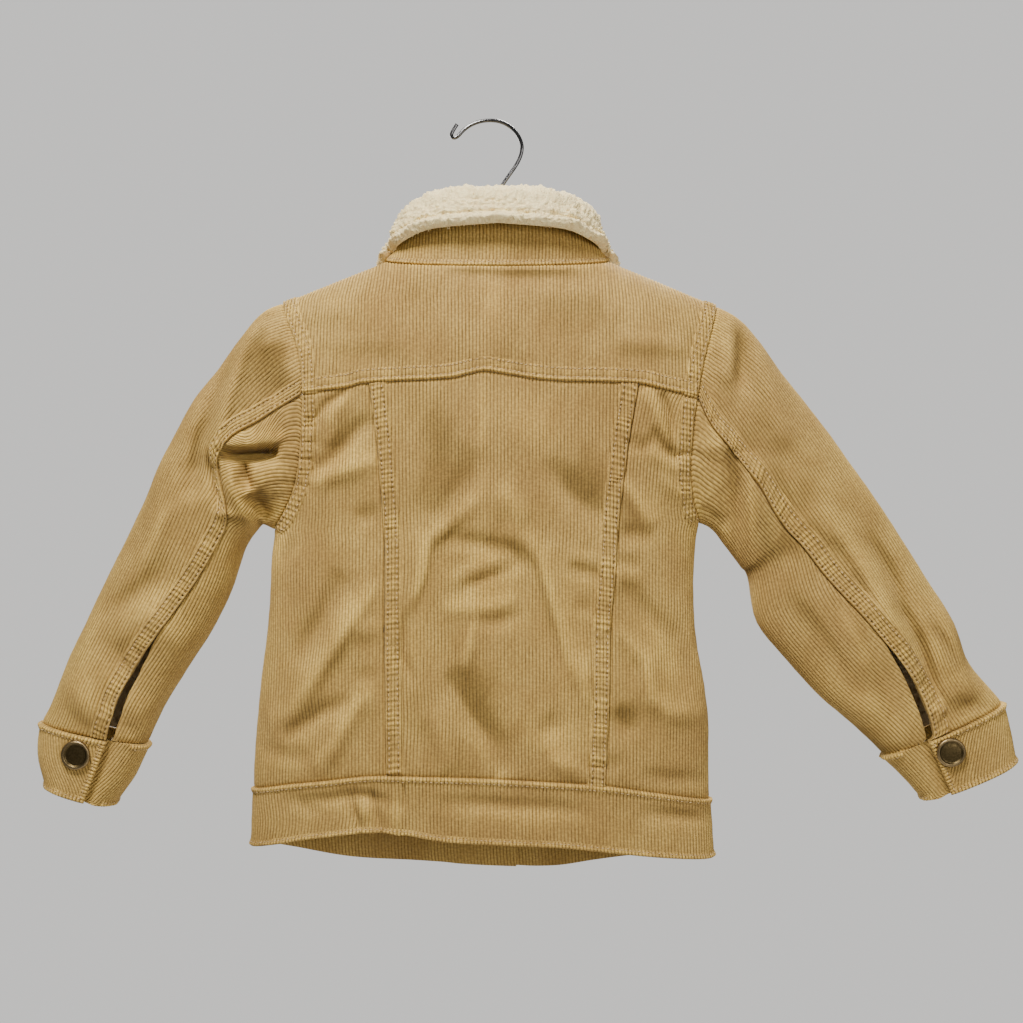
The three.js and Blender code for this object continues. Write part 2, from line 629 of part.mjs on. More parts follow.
const SLEEVE_END = 12.99;
const sleeveRows = [
  0, 0.5, 1, 1.6, 2.2, 2.8, 3.4, 4, 4.5, 5, 5.5, 6, 6.6, 7.3, 8, 8.6, 9.2, 9.8, 10.4, 11, 11.6, 12.3,
  SLEEVE_END,
];

// The seams' places round the sleeve, and how far the vent spreads them.
const sectionWidth = (hand, n) => {
  const part = (column) => read(SLEEVE[hand], column, n);
  return hypot(part("outX") - part("inX"), part("outZ") - part("inZ"));
};
function sleeveSeams(hand, n, apart) {
  const width = sectionWidth(hand, n);
  const open = VENT.gap * sin(PI * clamp((n - VENT.from) / (SLEEVE_END + 0.4 - VENT.from))) ** 0.6;
  const seam = read(SLEEVE[hand], "seam", n);
  return {
    back: angleAt(seam + (apart * (inset + FACET_GAP / 2 + open * (apart > 0 ? 0.85 : 0.15))) / width),
    front: -angleAt(FRONT_SLEEVE_SEAM + (apart * inset) / width),
  };
}

function sleevePiece(hand, piece) {
  const upper = piece === "upper";
  const columns = upper ? range(15) : range(9);
  return wall(columns, sleeveRows, (s, n) => {
    const seams = sleeveSeams(hand, n, upper ? -1 : 1);
    const angle = upper ? lerp(seams.back, seams.front, s) : lerp(seams.back, seams.front + 2 * PI, s);
    const felled = upper && s < 0.11 ? FELL_RAISE : 0;
    const point = sleevePoint(hand, n, angle);
    return bothFaces(point, sleeveFace(hand, n, angle), n === 0 ? 0 : felled, CLOTH);
  });
}

// A cuff is a double strip whose upper end covers its lower end by the button's width.
const CUFF_OVERLAP = 0.62; // radians past the full turn
const CUFF_TUCK = 4.4; // how far the lower end sinks under the upper one
function cuff(hand) {
  const rows = CUFF[hand];
  return wall(range(26), range(3, (t) => lerp(0.015, 2, t)), (s, n) => {
    const start = angleAt(read(rows, "seam", n));
    const angle = start - s * (2 * PI + CUFF_OVERLAP);
    const centre = sectionPoint(rows, n, 0).add(sectionPoint(rows, n, PI)).multiplyScalar(0.5);
    const sideways = facingOf((a, b) => sectionPoint(rows, a, b), clamp(n, 0.03, 1.97), angle, centre);
    const normal = n < 0.1 ? flatInSection(rows, n, sideways) : sideways;
    const past = (s * (2 * PI + CUFF_OVERLAP) - (2 * PI - 0.35)) / 0.35;
    const lift = 1 - CUFF_TUCK * smooth(past);
    return bothFaces(sectionPoint(rows, n, angle), normal, lift, DOUBLE_CLOTH - lift);
  });
}

// The collar: a stand that rises from the neck seam, a roll, and a fall that ends at the collar's edge. Each
// row is an angle round the neck from the centre back, and there the stand's height, how far it leans in and
// the roll's radius.
const COLLAR = table(["angle", "stand", "lean", "roll"], [
  [0, 41, -5, 6],
  [20, 40, -5.5, 6],
  [35, 37, -8, 5.6],
  [55, 30.5, -12, 5],
  [75, 22, -15, 4.4],
  [90, 15.5, -14, 4],
  [110, 11, -8, 4.2],
  [140, 8, -3.4, 4.4],
  [178, 6.5, -2, 4.2],
]);
const BACK_EDGE = table(["angle", "out", "height"], [
  [0, 9.5, 26], [35, 6.5, 22], [55, 1.5, 15], [75, -3.4, 8.5], [90, -4, 4],
]);
const FRONT_EDGE = table(["angle", "x", "z"], [
  [90, 78, -90], [105, 83, -108], [120, 82, -128], [140, 73, -156], [160, 58, -180], [172, 49, -190],
  [178, 45, -193],
]);
const COLLAR_END = 177.4; // degrees, at the centre front
const SHERPA = 6; // the pile's thickness
const UNDER_COLLAR = 1.8;
const STAND_INSIDE = 2.2;
const ON_CHEST = 4.4; // the under collar's middle lies this far off the fronts

const degrees = PI / 180;

function neckPoint(angle) {
  const [s, c] = [sin(angle * degrees), cos(angle * degrees)];
  const side = c >= 0 ? BACK : FRONT;
  const y = (side === BACK ? NECK.back : NECK.front) * c;
  const dip = side === BACK ? NECK.backDip * c : NECK.frontDip * c ** 2;
  const out = new THREE.Vector3(s / NECK.half, c / (side === BACK ? NECK.back : NECK.front), 0).normalize();
  return { at: new THREE.Vector3(NECK.x + NECK.half * s, y, NECK.z - dip), out };
}

// Where the under collar meets the sherpa. Run 0 to 1 is the stand, 1 to 2 the roll and 2 to 3 the fall.
function collarPoint(angle, run) {
  const turned = abs(angle);
  const { at, out } = neckPoint(angle);
  const part = (column) => read(COLLAR, column, turned);
  const [stand, lean, roll] = [part("stand"), part("lean"), part("roll")];
  const place = (o, h) => at.clone().addScaledVector(out, o).setZ(at.z + h);
  if (run <= 1) return place(-STAND_INSIDE + lean * max(run, 0) ** 1.5, lerp(0.6, stand, run));
  const centre = -STAND_INSIDE + lean + roll;
  if (run <= 2) return place(centre - roll * cos(PI * (run - 1)), stand + roll * sin(PI * (run - 1)));
  const from = place(centre + roll, stand);
  const toBack = place(read(BACK_EDGE, "out", turned), read(BACK_EDGE, "height", turned));
  const t = run - 2;
  if (turned <= 90) return from.lerp(toBack, t);
  const x = NECK.x + sign(angle) * read(FRONT_EDGE, "x", turned);
  const z = read(FRONT_EDGE, "z", turned);
  const onChest = new THREE.Vector3(x, -depth(FRONT, x, z) - ON_CHEST, z);
  const point = from.lerp(toBack.lerp(onChest, smooth((turned - 88) / 14)), t);
  const clear = -depth(FRONT, point.x, point.z) - ON_CHEST;
  if (t > 0 && point.z < topEdge(FRONT, point.x).z) point.y = min(point.y, clear);
  return point;
}

function collarLayer(columns, runs, from, to) {
  return wall(columns, runs, (angle, run) => {
    const a = collarPoint(angle - 0.6, run);
    const b = collarPoint(angle + 0.6, run);
    const along = b.sub(a);
    const down = collarPoint(angle, run + 0.03).sub(collarPoint(angle, run - 0.03));
    const normal = along.cross(down).normalize();
    const point = collarPoint(angle, run);
    const [near, far] = [from, to(run)];
    return {
      outer: point.clone().addScaledVector(normal, far),
      inner: point.clone().addScaledVector(normal, near),
    };
  });
}

const collarAngles = range(32, (t) => lerp(-COLLAR_END, COLLAR_END, t));
const collarRuns = [0, 0.5, 1, 1.33, 1.67, 2, 2.4, 2.8];

const sherpaCollar = () =>
  collarLayer(collarAngles, [...collarRuns, 2.95, 3], 0.15, (run) =>
    0.15 + SHERPA * sqrt(max(0.04, 1 - clamp((run - 2.75) / 0.25) ** 2)) * lerp(0.75, 1, smooth(run)));
const underCollar = () => collarLayer(collarAngles, collarRuns, -0.15, () => -0.15 - UNDER_COLLAR);

// Buttons: a domed metal cap with a rim, on a short shank.
const BUTTON = { radius: 9.8, height: 3.4, shank: 3.2, stand: 0.9 };
const buttonProfile = [
  [0, 0],
  [BUTTON.shank, 0],
  [BUTTON.shank, BUTTON.stand],
  [BUTTON.radius, BUTTON.stand],
  [BUTTON.radius, BUTTON.height - 0.6],
  [BUTTON.radius * 0.9, BUTTON.height],
  [BUTTON.radius * 0.8, BUTTON.height - 0.6],
  [0, BUTTON.height - 0.3],
].map(([r, h]) => new THREE.Vector2(r, h));
const buttonGeometry = () => new THREE.LatheGeometry(buttonProfile, 12);

// The hanger: a flat shaped board under the shoulders, with a wire hook in a hole at its middle.
const HANGER = { half: 4, drop: 15, bevel: 2, clear: 1.1, tipInset: 12, crown: 9, stemX: -3.5 };
const WIRE = 1.25;

function hanger() {
  const leftTip = TIP[LEFT].x - HANGER.tipInset;
  const rightTip = TIP[RIGHT].x + HANGER.tipInset;
  const crown = (x) => HANGER.crown * exp(-(((x - HANGER.stemX) / 26) ** 2));
  const over = (x) => {
    const neckPart = abs(x - NECK.x) < NECK.half ? NECK.z - 3.5 : topEdge(BACK, x).z;
    return neckPart + crown(x) - CLOTH - HANGER.clear - HANGER.bevel;
  };
  const xs = range(24, (t) => lerp(rightTip, leftTip, t));
  const outline = [
    ...xs.map((x) => new THREE.Vector2(x, over(x))),
    ...xs.reverse().map((x) => new THREE.Vector2(x, over(x) - HANGER.drop - crown(x) * 0.6)),
  ];
  const board = new THREE.ExtrudeGeometry(new THREE.Shape(outline), {
    depth: 2 * (HANGER.half - HANGER.bevel),
    bevelThickness: HANGER.bevel,
    bevelSize: HANGER.bevel,
    bevelSegments: 1,
  });
  board.rotateX(PI / 2);
  board.translate(0, HANGER.half - HANGER.bevel, 0);
  const hole = new THREE.CylinderGeometry(WIRE + SEAM_GAP, WIRE + SEAM_GAP, 24, 12);
  hole.rotateX(PI / 2);
  hole.translate(HANGER.stemX, 0, stemBottom() + 12 - SEAM_GAP);
  return fromSolid(toSolid(board).subtract(toSolid(hole)));
}

const stemBottom = () => NECK.z - 8;

// The wire hook, from inside the hanger up through the neck, round the crook and back on itself at the tip.
function hook() {
  const wire = [
    [HANGER.stemX, stemBottom()], [HANGER.stemX, -84], [HANGER.stemX, -70], [HANGER.stemX - 0.4, -58],
    [-5.2, -49], [-8.8, -42.1], [-13.6, -35.4], [-18.4, -28.6], [-21.4, -22], [-22, -15.6], [-19.3, -8.8],
    [-14, -3], [-7.2, 0.4], [0, WIRE], [7.2, 0.4], [13.6, -2.2], [18.2, -5.6], [21.4, -9.4], [24.2, -11.2],
    [26.4, -9.6], [25.6, -6.4], [22.4, -1.6],
  ].map(([x, z]) => new THREE.Vector3(x, 0, z));
  const ring = range(7, (t) => new THREE.Vector2(WIRE * cos(2 * PI * t), WIRE * sin(2 * PI * t)));
  const section = new THREE.Shape(ring.slice(0, -1));
  return new THREE.ExtrudeGeometry(section, { extrudePath: new THREE.CatmullRomCurve3(wire), steps: 44 });
}

function toSolid(geometry) {
  const bare = geometry.clone();
  bare.deleteAttribute("normal");
  bare.deleteAttribute("uv");
  const merged = mergeVertices(bare, 1e-4);
  return new wasm.Manifold(
    new wasm.Mesh({
      numProp: 3,
      vertProperties: merged.attributes.position.array,
      triVerts: new Uint32Array(merged.index.array),
    }),
  );
}

function fromSolid(solid) {
  const mesh = solid.getMesh();
  const geometry = new THREE.BufferGeometry();
  geometry.setAttribute("position", new THREE.BufferAttribute(mesh.vertProperties, 3));
  return geometry.setIndex(new THREE.BufferAttribute(mesh.triVerts, 1));
}

const corduroy = new THREE.MeshStandardMaterial({ color: 0xb98e57, roughness: 0.9, metalness: 0 });
const sherpa = new THREE.MeshStandardMaterial({ color: 0xe6d8b8, roughness: 1, metalness: 0 });
const brass = new THREE.MeshStandardMaterial({ color: 0x6b5a38, roughness: 0.45, metalness: 0.9 });
const chrome = new THREE.MeshStandardMaterial({ color: 0xc9cccf, roughness: 0.15, metalness: 1 });
const wood = new THREE.MeshStandardMaterial({ color: 0xb9976a, roughness: 0.6, metalness: 0 });

const jacket = new THREE.Group();
jacket.name = "jacket_on_hanger";

function add(name, geometry, material) {
  const mesh = new THREE.Mesh(geometry, material);
  mesh.name = name;
  jacket.add(mesh);
  return mesh;
}

add("yoke_back", yoke(), corduroy);
add("back_centre", backCentre(), corduroy);
for (const [hand, word] of [[LEFT, "left"], [RIGHT, "right"]]) {
  add(`back_side_${word}`, backSide(hand), corduroy);
  add(`front_${word}`, frontPanel(hand), corduroy);
  add(`sleeve_upper_${word}`, sleevePiece(hand, "upper"), corduroy);
  add(`sleeve_under_${word}`, sleevePiece(hand, "under"), corduroy);
  add(`cuff_${word}`, cuff(hand), corduroy);
}
add("waistband", waistband(), corduroy);
add("collar_sherpa", sherpaCollar(), sherpa);
add("collar_under", underCollar(), corduroy);
add("hanger", hanger(), wood);
add("hanger_hook", hook(), chrome);

// A button stands on the cloth at a point, along its outward direction.
function addButton(name, point, normal) {
  const button = add(name, buttonGeometry(), brass);
  button.position.copy(point).addScaledVector(normal, SEAM_GAP);
  button.quaternion.setFromUnitVectors(new THREE.Vector3(0, 1, 0), normal);
}

const FRONT_BUTTONS = { count: 5, top: -161, bottom: -440, waistband: -490 };
const buttonHeights = range(FRONT_BUTTONS.count - 1, (t) => lerp(FRONT_BUTTONS.top, FRONT_BUTTONS.bottom, t));
buttonHeights.forEach((z, i) => {
  const normal = facing(FRONT, CLOSURE.x, z);
  const point = bodyPoint(FRONT, CLOSURE.x, z).addScaledVector(normal, CLOSURE.lift);
  addButton(`button_front_${i + 1}`, point, normal);
});
{
  const normal = facing(FRONT, CLOSURE.x, FRONT_BUTTONS.waistband);
  const point = bodyPoint(FRONT, CLOSURE.x, FRONT_BUTTONS.waistband);
  point.addScaledVector(normal, CLOSURE.lift * WAISTBAND.lap + WAISTBAND.raise);
  addButton("button_waistband", point, normal);
}
const CUFF_BUTTON = { [LEFT]: { n: 0.56, share: 0.465 }, [RIGHT]: { n: 0.61, share: 0.584 } };
for (const [hand, word] of [[LEFT, "left"], [RIGHT, "right"]]) {
  const { n, share } = CUFF_BUTTON[hand];
  const rows = CUFF[hand];
  const angle = angleAt(share);
  const centre = sectionPoint(rows, n, 0).add(sectionPoint(rows, n, PI)).multiplyScalar(0.5);
  const normal = facingOf((a, b) => sectionPoint(rows, a, b), n, angle, centre);
  addButton(`button_cuff_${word}`, sectionPoint(rows, n, angle).addScaledVector(normal, 1), normal);
}

export default jacket;
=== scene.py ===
import math

import bpy
import numpy as np
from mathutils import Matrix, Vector, noise


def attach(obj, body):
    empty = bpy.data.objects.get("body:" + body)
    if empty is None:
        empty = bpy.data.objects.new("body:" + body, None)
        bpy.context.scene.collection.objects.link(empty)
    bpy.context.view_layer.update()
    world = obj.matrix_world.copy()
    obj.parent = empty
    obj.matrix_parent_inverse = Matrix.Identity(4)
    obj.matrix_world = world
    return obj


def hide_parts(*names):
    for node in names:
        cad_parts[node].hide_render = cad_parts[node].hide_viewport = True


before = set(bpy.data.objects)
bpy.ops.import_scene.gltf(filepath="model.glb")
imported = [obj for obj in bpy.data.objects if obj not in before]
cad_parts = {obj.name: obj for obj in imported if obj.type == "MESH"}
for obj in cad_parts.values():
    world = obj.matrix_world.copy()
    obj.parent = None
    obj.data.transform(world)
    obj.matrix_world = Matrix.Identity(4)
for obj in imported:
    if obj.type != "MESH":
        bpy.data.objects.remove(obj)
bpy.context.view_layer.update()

# Everything is worked out in millimetres, as a tailor measures, and goes into the meshes in metres.
mm = 0.001
back, front = 1, -1
left, right = 1, -1


def mix(a, b, t):
    return a + (b - a) * t


def ease(t):
    t = np.clip(t, 0, 1)
    return t * t * (3 - 2 * t)


def unit(v):
    return v / np.maximum(np.linalg.norm(v, axis=-1, keepdims=True), 1e-9)


def curve(points):
    # A smooth line through (where, value) pairs, level beyond its ends.
    xs, ys = np.array(sorted(points), float).T
    here = np.arange(len(xs))
    low, high = np.maximum(here - 1, 0), np.minimum(here + 1, len(xs) - 1)
    slopes = (ys[high] - ys[low]) / (xs[high] - xs[low])

    def at(x):
        x = np.clip(x, xs[0], xs[-1])
        i = np.clip(np.searchsorted(xs, x, side="right") - 1, 0, len(xs) - 2)
        span = xs[i + 1] - xs[i]
        t = (x - xs[i]) / span
        return (
            (2 * t**3 - 3 * t**2 + 1) * ys[i]
            + (t**3 - 2 * t**2 + t) * span * slopes[i]
            + (3 * t**2 - 2 * t**3) * ys[i + 1]
            + (t**3 - t**2) * span * slopes[i + 1]
        )

    return at


def curves(columns, rows):
    names = columns.split()
    return {name: curve([(row[0], row[k]) for row in rows]) for k, name in enumerate(names) if k}


def stack(x, y, z):
    return np.stack(np.broadcast_arrays(x, y, z), axis=-1).astype(float)


# The body of the jacket: level sections, then the seams that cut it into panels.
bodyCut = {
    "sections": curves("z left right back front", [
        (-90, 178, -188, 36, 27), (-125, 177, -189, 37, 28), (-160, 173, -185, 38, 30), (-190, 168, -179, 38, 31),
        (-215, 162, -170, 38, 31), (-240, 155, -158, 37, 31), (-260, 149, -147, 36, 31), (-277, 145.5, -140.5, 35.5, 31),
        (-298, 147.5, -138, 36.5, 31), (-325, 148.5, -137.5, 38, 31), (-352, 151, -139.5, 39, 31),
        (-380, 154.5, -144.5, 40, 31), (-407, 157, -147.5, 40.5, 31), (-434, 159, -147.5, 40, 31),
        (-455, 159.5, -148, 38.5, 31), (-495, 161, -150.5, 37.5, 31), (-520, 161, -150.5, 37.5, 31),
    ]),
    "round": {back: 2.6, front: 2.8},
    "shoulderDrop": 62,
    "neck": {"x": -5.4, "half": 74.8, back: 31, front: 27, "z": -95},
    "neckDip": {back: 7.5, front: 43},
    "shoulderTip": {left: (140.5, -123.4), right: (-153.4, -125.4)},
    "underarm": {left: -277.5, right: -272},
    "frontScoop": 4,
}
armholeLine = {
    left: curve([
        (-123.4, 140.5), (-139.6, 134.2), (-153.9, 128.3), (-167.7, 124.9), (-188, 123.6), (-211.2, 124.7),
        (-230.9, 126.4), (-247.3, 129.5), (-261.8, 135.6), (-277.5, 145.5),
    ]),
    right: curve([
        (-125.4, -153.4), (-139.6, -149.3), (-157.3, -144.1), (-171.1, -140.8), (-184.6, -138.4), (-198, -136.2),
        (-217.8, -134.2), (-234.1, -133.3), (-247.2, -134), (-260.5, -136.5), (-272, -141.4),
    ]),
}
yokeSeam = curve([
    (-150, -191), (-132.4, -188), (-113.6, -184.3), (-99, -181.1), (-72.7, -179.9), (-46.4, -179.4), (-26.7, -177.5),
    (-7.1, -174.3), (2.7, -172.9), (12.5, -174.6), (25.6, -177.5), (58.4, -179.4), (83.5, -180.9), (91.5, -183.1),
    (111.4, -185.6), (140, -188.5),
])
waistSeam = {
    back: curve([
        (-151, -458.3), (-133, -454.5), (-106.3, -449.3), (-72.8, -443.9), (-33.2, -441), (5.9, -438.8),
        (45.2, -437.7), (78.1, -437.6), (105, -441.1), (132.7, -444.9), (161, -450.8),
    ]),
    front: curve([
        (-151, -458.3), (-138, -459), (-96, -465), (-45, -472.5), (0, -472.5), (50, -469), (98, -463.5), (146, -452),
        (161, -450.8),
    ]),
}
hemLine = {
    back: curve([
        (-151, -498), (-92.4, -490.7), (-48.4, -485.4), (-7.1, -483.3), (11.9, -482.4), (34.1, -480.6), (57.1, -476.6),
        (79.5, -475.8), (114.3, -480.2), (140, -485.5), (161, -490.3),
    ]),
    front: curve([
        (-151, -498), (-96.4, -504.5), (-73.6, -507.9), (-45, -512.4), (-6.6, -512.4), (50.2, -508.9), (98.1, -505.4),
        (140, -496.5), (161, -490.3),
    ]),
}
longSeam = {
    left: curve([
        (-175, 79.5), (-181.9, 78.9), (-218, 74.1), (-244.3, 72), (-270.4, 70), (-296.6, 68.7), (-355, 68.7),
        (-388, 68), (-450, 67.2),
    ]),
    right: curve([
        (-175, -98.5), (-183.7, -97.7), (-211.4, -93), (-231.1, -90.3), (-270.4, -85.7), (-309.7, -83),
        (-335.8, -80.4), (-388, -79), (-450, -76),
    ]),
}
closure = {"x": 1.5, "reach": 19.5, "lift": 1.5, "ease": 13}

# Folds as they hang, each a line of points down or across the cloth, its half width (on the walker's right and left
# where they differ), its height, and how sharp its edge is: 2 is a soft wave and 1.4 a pressed crease.
bodyCreases = {
    back: [
        ([(7, -256), (14, -263.7), (30.2, -276.8), (40, -285.5), (43.3, -307), (48.6, -321.2), (56.3, -331)], (9, 3), 3.8, 1.5),
        ([(4, -226), (11, -240), (32, -275)], 10, -2.6, 2),
        ([(-8, -277), (-25.1, -285.5), (-33.8, -296.3), (-40.3, -321), (-45.7, -339.6), (-52.2, -361.3), (-58, -381)],
         (3.6, 10), 4.2, 1.6),
        ([(30, -283), (2.1, -287), (-15.3, -291.9), (-25, -303)], 4.5, -3.2, 1.8),
        ([(30, -312), (10.7, -305), (-8, -299)], 3.6, 2.2, 1.8),
        ([(20, -314), (-4.5, -305.5), (-22, -299)], 3.6, -2.8, 1.8),
        ([(32, -329), (2, -328.6), (-18, -324)], 4.2, 2.4, 1.8),
        ([(8, -338.5), (-3.2, -337.4), (-24, -332)], 4.2, -2.2, 1.8),
        ([(28, -370), (17, -388), (10.6, -400.4), (-4, -418), (-10, -438)], (7, 11), -4.8, 1.8),
        ([(9, -336), (13, -354), (17, -370)], 3.6, 2, 1.8),
        ([(38, -392), (30, -414), (24, -436)], 8, 2.4, 2),
        ([(56, -333), (56.3, -361.3), (48, -378)], 3.2, -2.6, 1.6),
        ([(-50, -301.5), (-60, -304), (-75, -308)], 3, -2.4, 1.6),
        ([(-50, -294), (-74, -299)], 3.2, 1.4, 2),
        ([(-55, -326), (-70, -329)], 3, -1.6, 2),
        ([(-36, -232), (-52, -250), (-74, -273)], 9, -3, 2),
        ([(-6, -248), (-24, -274)], 9, 1.8, 2),
        ([(-37, -398), (-43, -414)], 9, -2.2, 2),
        ([(-38, -425), (-52, -432), (-68, -437)], 5, 2.8, 1.6),
        ([(-52, -431.5), (-70, -432), (-92, -430)], 2.4, -2.2, 1.4),
        ([(-60, -358), (-65, -396)], 5, 2, 2),
        ([(74, -310), (81.6, -326), (95.6, -344.3), (109.8, -365), (119.5, -381.3), (131.5, -398.6), (148, -409)],
         (10, 6), 4.6, 1.5),
        ([(94, -306), (110, -336), (130, -368)], 9, -2.8, 2),
        ([(90, -343.5), (69, -341)], 5, 1.8, 2),
        ([(90, -389), (108.6, -396.5), (119.5, -404), (136, -415)], 5, -3.4, 1.6),
        ([(74, -383), (87, -392), (95.6, -406.2), (104.3, -422.5), (117, -436)], (5, 7), 3.4, 1.6),
        ([(154, -423), (134, -426), (116, -428)], 4, -2, 1.8),
        ([(72, -371.5), (90, -374)], 3, -1.4, 2),
        ([(92, -185.5), (100.5, -190.6), (108.5, -195.9), (113.7, -202), (123, -209)], 3, -3.6, 1.5),
        ([(90, -187), (104.1, -199.4), (105.8, -220)], 5, 2.6, 1.8),
        ([(74, -205), (86.5, -210.8), (95.3, -220.5), (104.1, -230.9), (124, -244)], 6, -3.6, 1.8),
        ([(72, -231.5), (88.4, -236.2), (104.1, -240.6), (120, -249)], 4.5, 3.2, 1.6),
        ([(71, -266), (90, -270.5)], 5, -1.6, 2),
        ([(130, -282), (139, -302)], 4, -1.8, 2),
        ([(128, -208.5), (102, -210)], 1.9, -1.2, 2),
        ([(128, -218), (106, -219.5)], 1.9, -1.1, 2),
        ([(129, -230), (110, -232.5)], 1.9, -1.2, 2),
        ([(131, -246), (112, -250.5)], 2.2, -1.4, 2),
        ([(-103, -183.5), (-110.6, -195.9), (-115.9, -208.2), (-119.5, -223)], (8, 2.4), 4.6, 1.4),
        ([(-113, -186), (-118.5, -202.9), (-121.5, -218)], 3.2, -3.2, 1.7),
        ([(-88, -218.5), (-100.2, -222.7), (-109, -219)], 2.6, -2.6, 1.6),
        ([(-106, -211), (-115, -223.1), (-120.2, -228.3), (-135, -225.5)], 2.7, -4, 1.4),
        ([(-103, -224), (-116, -233), (-126, -239)], 5, 1.8, 2),
        ([(-87, -244), (-99.3, -262.5), (-108, -277)], 4.5, 3.2, 1.6),
        ([(-110, -240), (-130, -258)], 4.5, 1.8, 2),
        ([(-84, -279.5), (-108, -281.5)], 5, -2.4, 1.8),
        ([(-81, -304.5), (-101, -309)], 3.2, 2, 1.8),
        ([(-81, -298.5), (-100, -301.5)], 3, -1.7, 2),
        ([(-84, -316), (-98, -326), (-119.6, -346.3), (-135, -386)], 8, -3.2, 2),
        ([(-82, -341), (-103.9, -364.3), (-107.5, -388.1), (-119.5, -398.6), (-148, -400.5)], 6, 3.8, 1.6),
        ([(-85, -394), (-91, -414)], 8, -2.8, 2),
        ([(-98, -439), (-148, -444)], 4, -2.2, 1.8),
        ([(136, -457), (102.2, -454), (87, -450.7), (74, -452.9), (52, -458)], 3.2, -2.6, 1.5),
        ([(126, -460), (107, -463.5)], 2.5, -1.7, 1.6),
        ([(90, -452), (88, -460), (83.5, -478)], 2.2, -2.2, 1.5),
        ([(77, -445), (75, -455), (69, -479)], 2.2, -2.4, 1.5),
        ([(56, -440), (54, -460)], 1.8, -1.7, 1.6),
        ([(83, -452), (80.5, -468)], 3.4, 2, 2),
        ([(62, -450), (60, -476)], 4, 1.8, 2),
        ([(38, -455), (-3.2, -456.8), (-68, -461.5)], 4, -2.3, 1.8),
        ([(-98, -463), (-148, -470.5)], 3.5, -2.4, 1.7),
        ([(32, -106), (-10, -111), (-86, -109)], 6, -2.4, 2),
        ([(-2.5, -124), (-3, -168)], 12, 1.6, 2),
        ([(116, -163), (52, -163)], 6, -0.8, 2),
        ([(-77, -166), (-132, -166)], 6, -0.8, 2),
        ([(114, -131), (90, -129)], 6, 1.6, 2),
        ([(-82, -150), (-132, -156)], 4, 1.4, 2),
    ],
    front: [
        ([(120, -170), (88.4, -199.2), (66, -236)], 9, 3.1, 1.8),
        ([(-128, -172), (-94.3, -204.2), (-70, -244)], 9, 3.1, 1.8),
        ([(136, -262), (110.8, -285.1), (80, -300)], 9, 3.4, 1.8),
        ([(-130, -260), (-110.7, -289.3), (-84, -312)], 10, 3.4, 1.8),
        ([(96, -318), (101.1, -376.1), (118, -432)], 12, 3.6, 1.8),
        ([(-78, -330), (-87.2, -386.6), (-108, -440)], 12, 3.6, 1.8),
        ([(48, -300), (48, -370.2), (56, -440)], 14, -3.1, 1.8),
        ([(-44, -290), (-42, -360.1), (-48, -430)], 14, -3.4, 1.8),
        ([(128, -330), (132, -380.2), (140, -430)], 9, -2.6, 1.8),
        ([(108, -200), (87, -217.3), (72, -240)], 4, -1.3, 1.8),
        ([(-112, -196), (-92.9, -213.5), (-80, -236)], 4, -1.3, 1.8),
        ([(70, -330), (74, -375.5), (84, -420)], 5, 1.3, 1.8),
        ([(-66, -350), (-70, -390.5), (-80, -430)], 5, 1.3, 1.8),
        ([(118, -280), (106.8, -292.4), (92, -300)], 4, -1.6, 1.8),
        ([(-118, -284), (-106.6, -294.6), (-92, -300)], 4, -1.6, 1.8),
    ],
}


def creaseHeight(creases, x, z):
    x, z = np.broadcast_arrays(np.asarray(x, float), np.asarray(z, float))
    total = np.zeros(x.shape)
    for path, width, height, edge in creases:
        path = np.array(path, float)
        reach = 3.2 * max(width) if isinstance(width, tuple) else 3.2 * width
        low, high = path.min(0) - reach, path.max(0) + reach
        near = (x > low[0]) & (x < high[0]) & (z > low[1]) & (z < high[1])
        if not near.any():
            continue
        px, pz = x[near], z[near]
        lengths = np.linalg.norm(np.diff(path, axis=0), axis=1)
        best, side, along, gone = np.full(px.shape, 1e9), np.ones(px.shape), np.zeros(px.shape), 0
        for (x0, z0), (x1, z1), length in zip(path[:-1], path[1:], lengths):
            ax, az = (x1 - x0) / length, (z1 - z0) / length
            t = np.clip((px - x0) * ax + (pz - z0) * az, 0, length)
            off = np.hypot(px - x0 - t * ax, pz - z0 - t * az)
            closer = off < best
            turn = np.sign((px - x0) * az - (pz - z0) * ax)
            best, side = np.where(closer, off, best), np.where(closer, turn, side)
            along = np.where(closer, gone + t, along)
            gone += length
        if isinstance(width, tuple):
            # The two sides blend over the crest, so that it doesn't step.
            width = mix(width[0], width[1], ease(0.5 + side * best / (2 * min(width))))
        fade = np.exp(-((np.sqrt(best**2 + 0.3) / width) ** edge))
        total[near] += height * np.sin(math.pi * np.clip(along / gone, 0, 1)) ** 0.6 * fade
    return total


def rumple(x, z, size, height, seed):
    # Low uneven waves, so that no stretch of cloth lies dead flat.
    random = np.random.default_rng(seed)
    total = 0
    for _ in range(7):
        turn, phase = random.uniform(0, 2 * math.pi, 2)
        wave = size * random.uniform(0.7, 1.8)
        total = total + np.sin((x * math.cos(turn) + z * math.sin(turn)) * 2 * math.pi / wave + phase)
    return total * height / 3.5


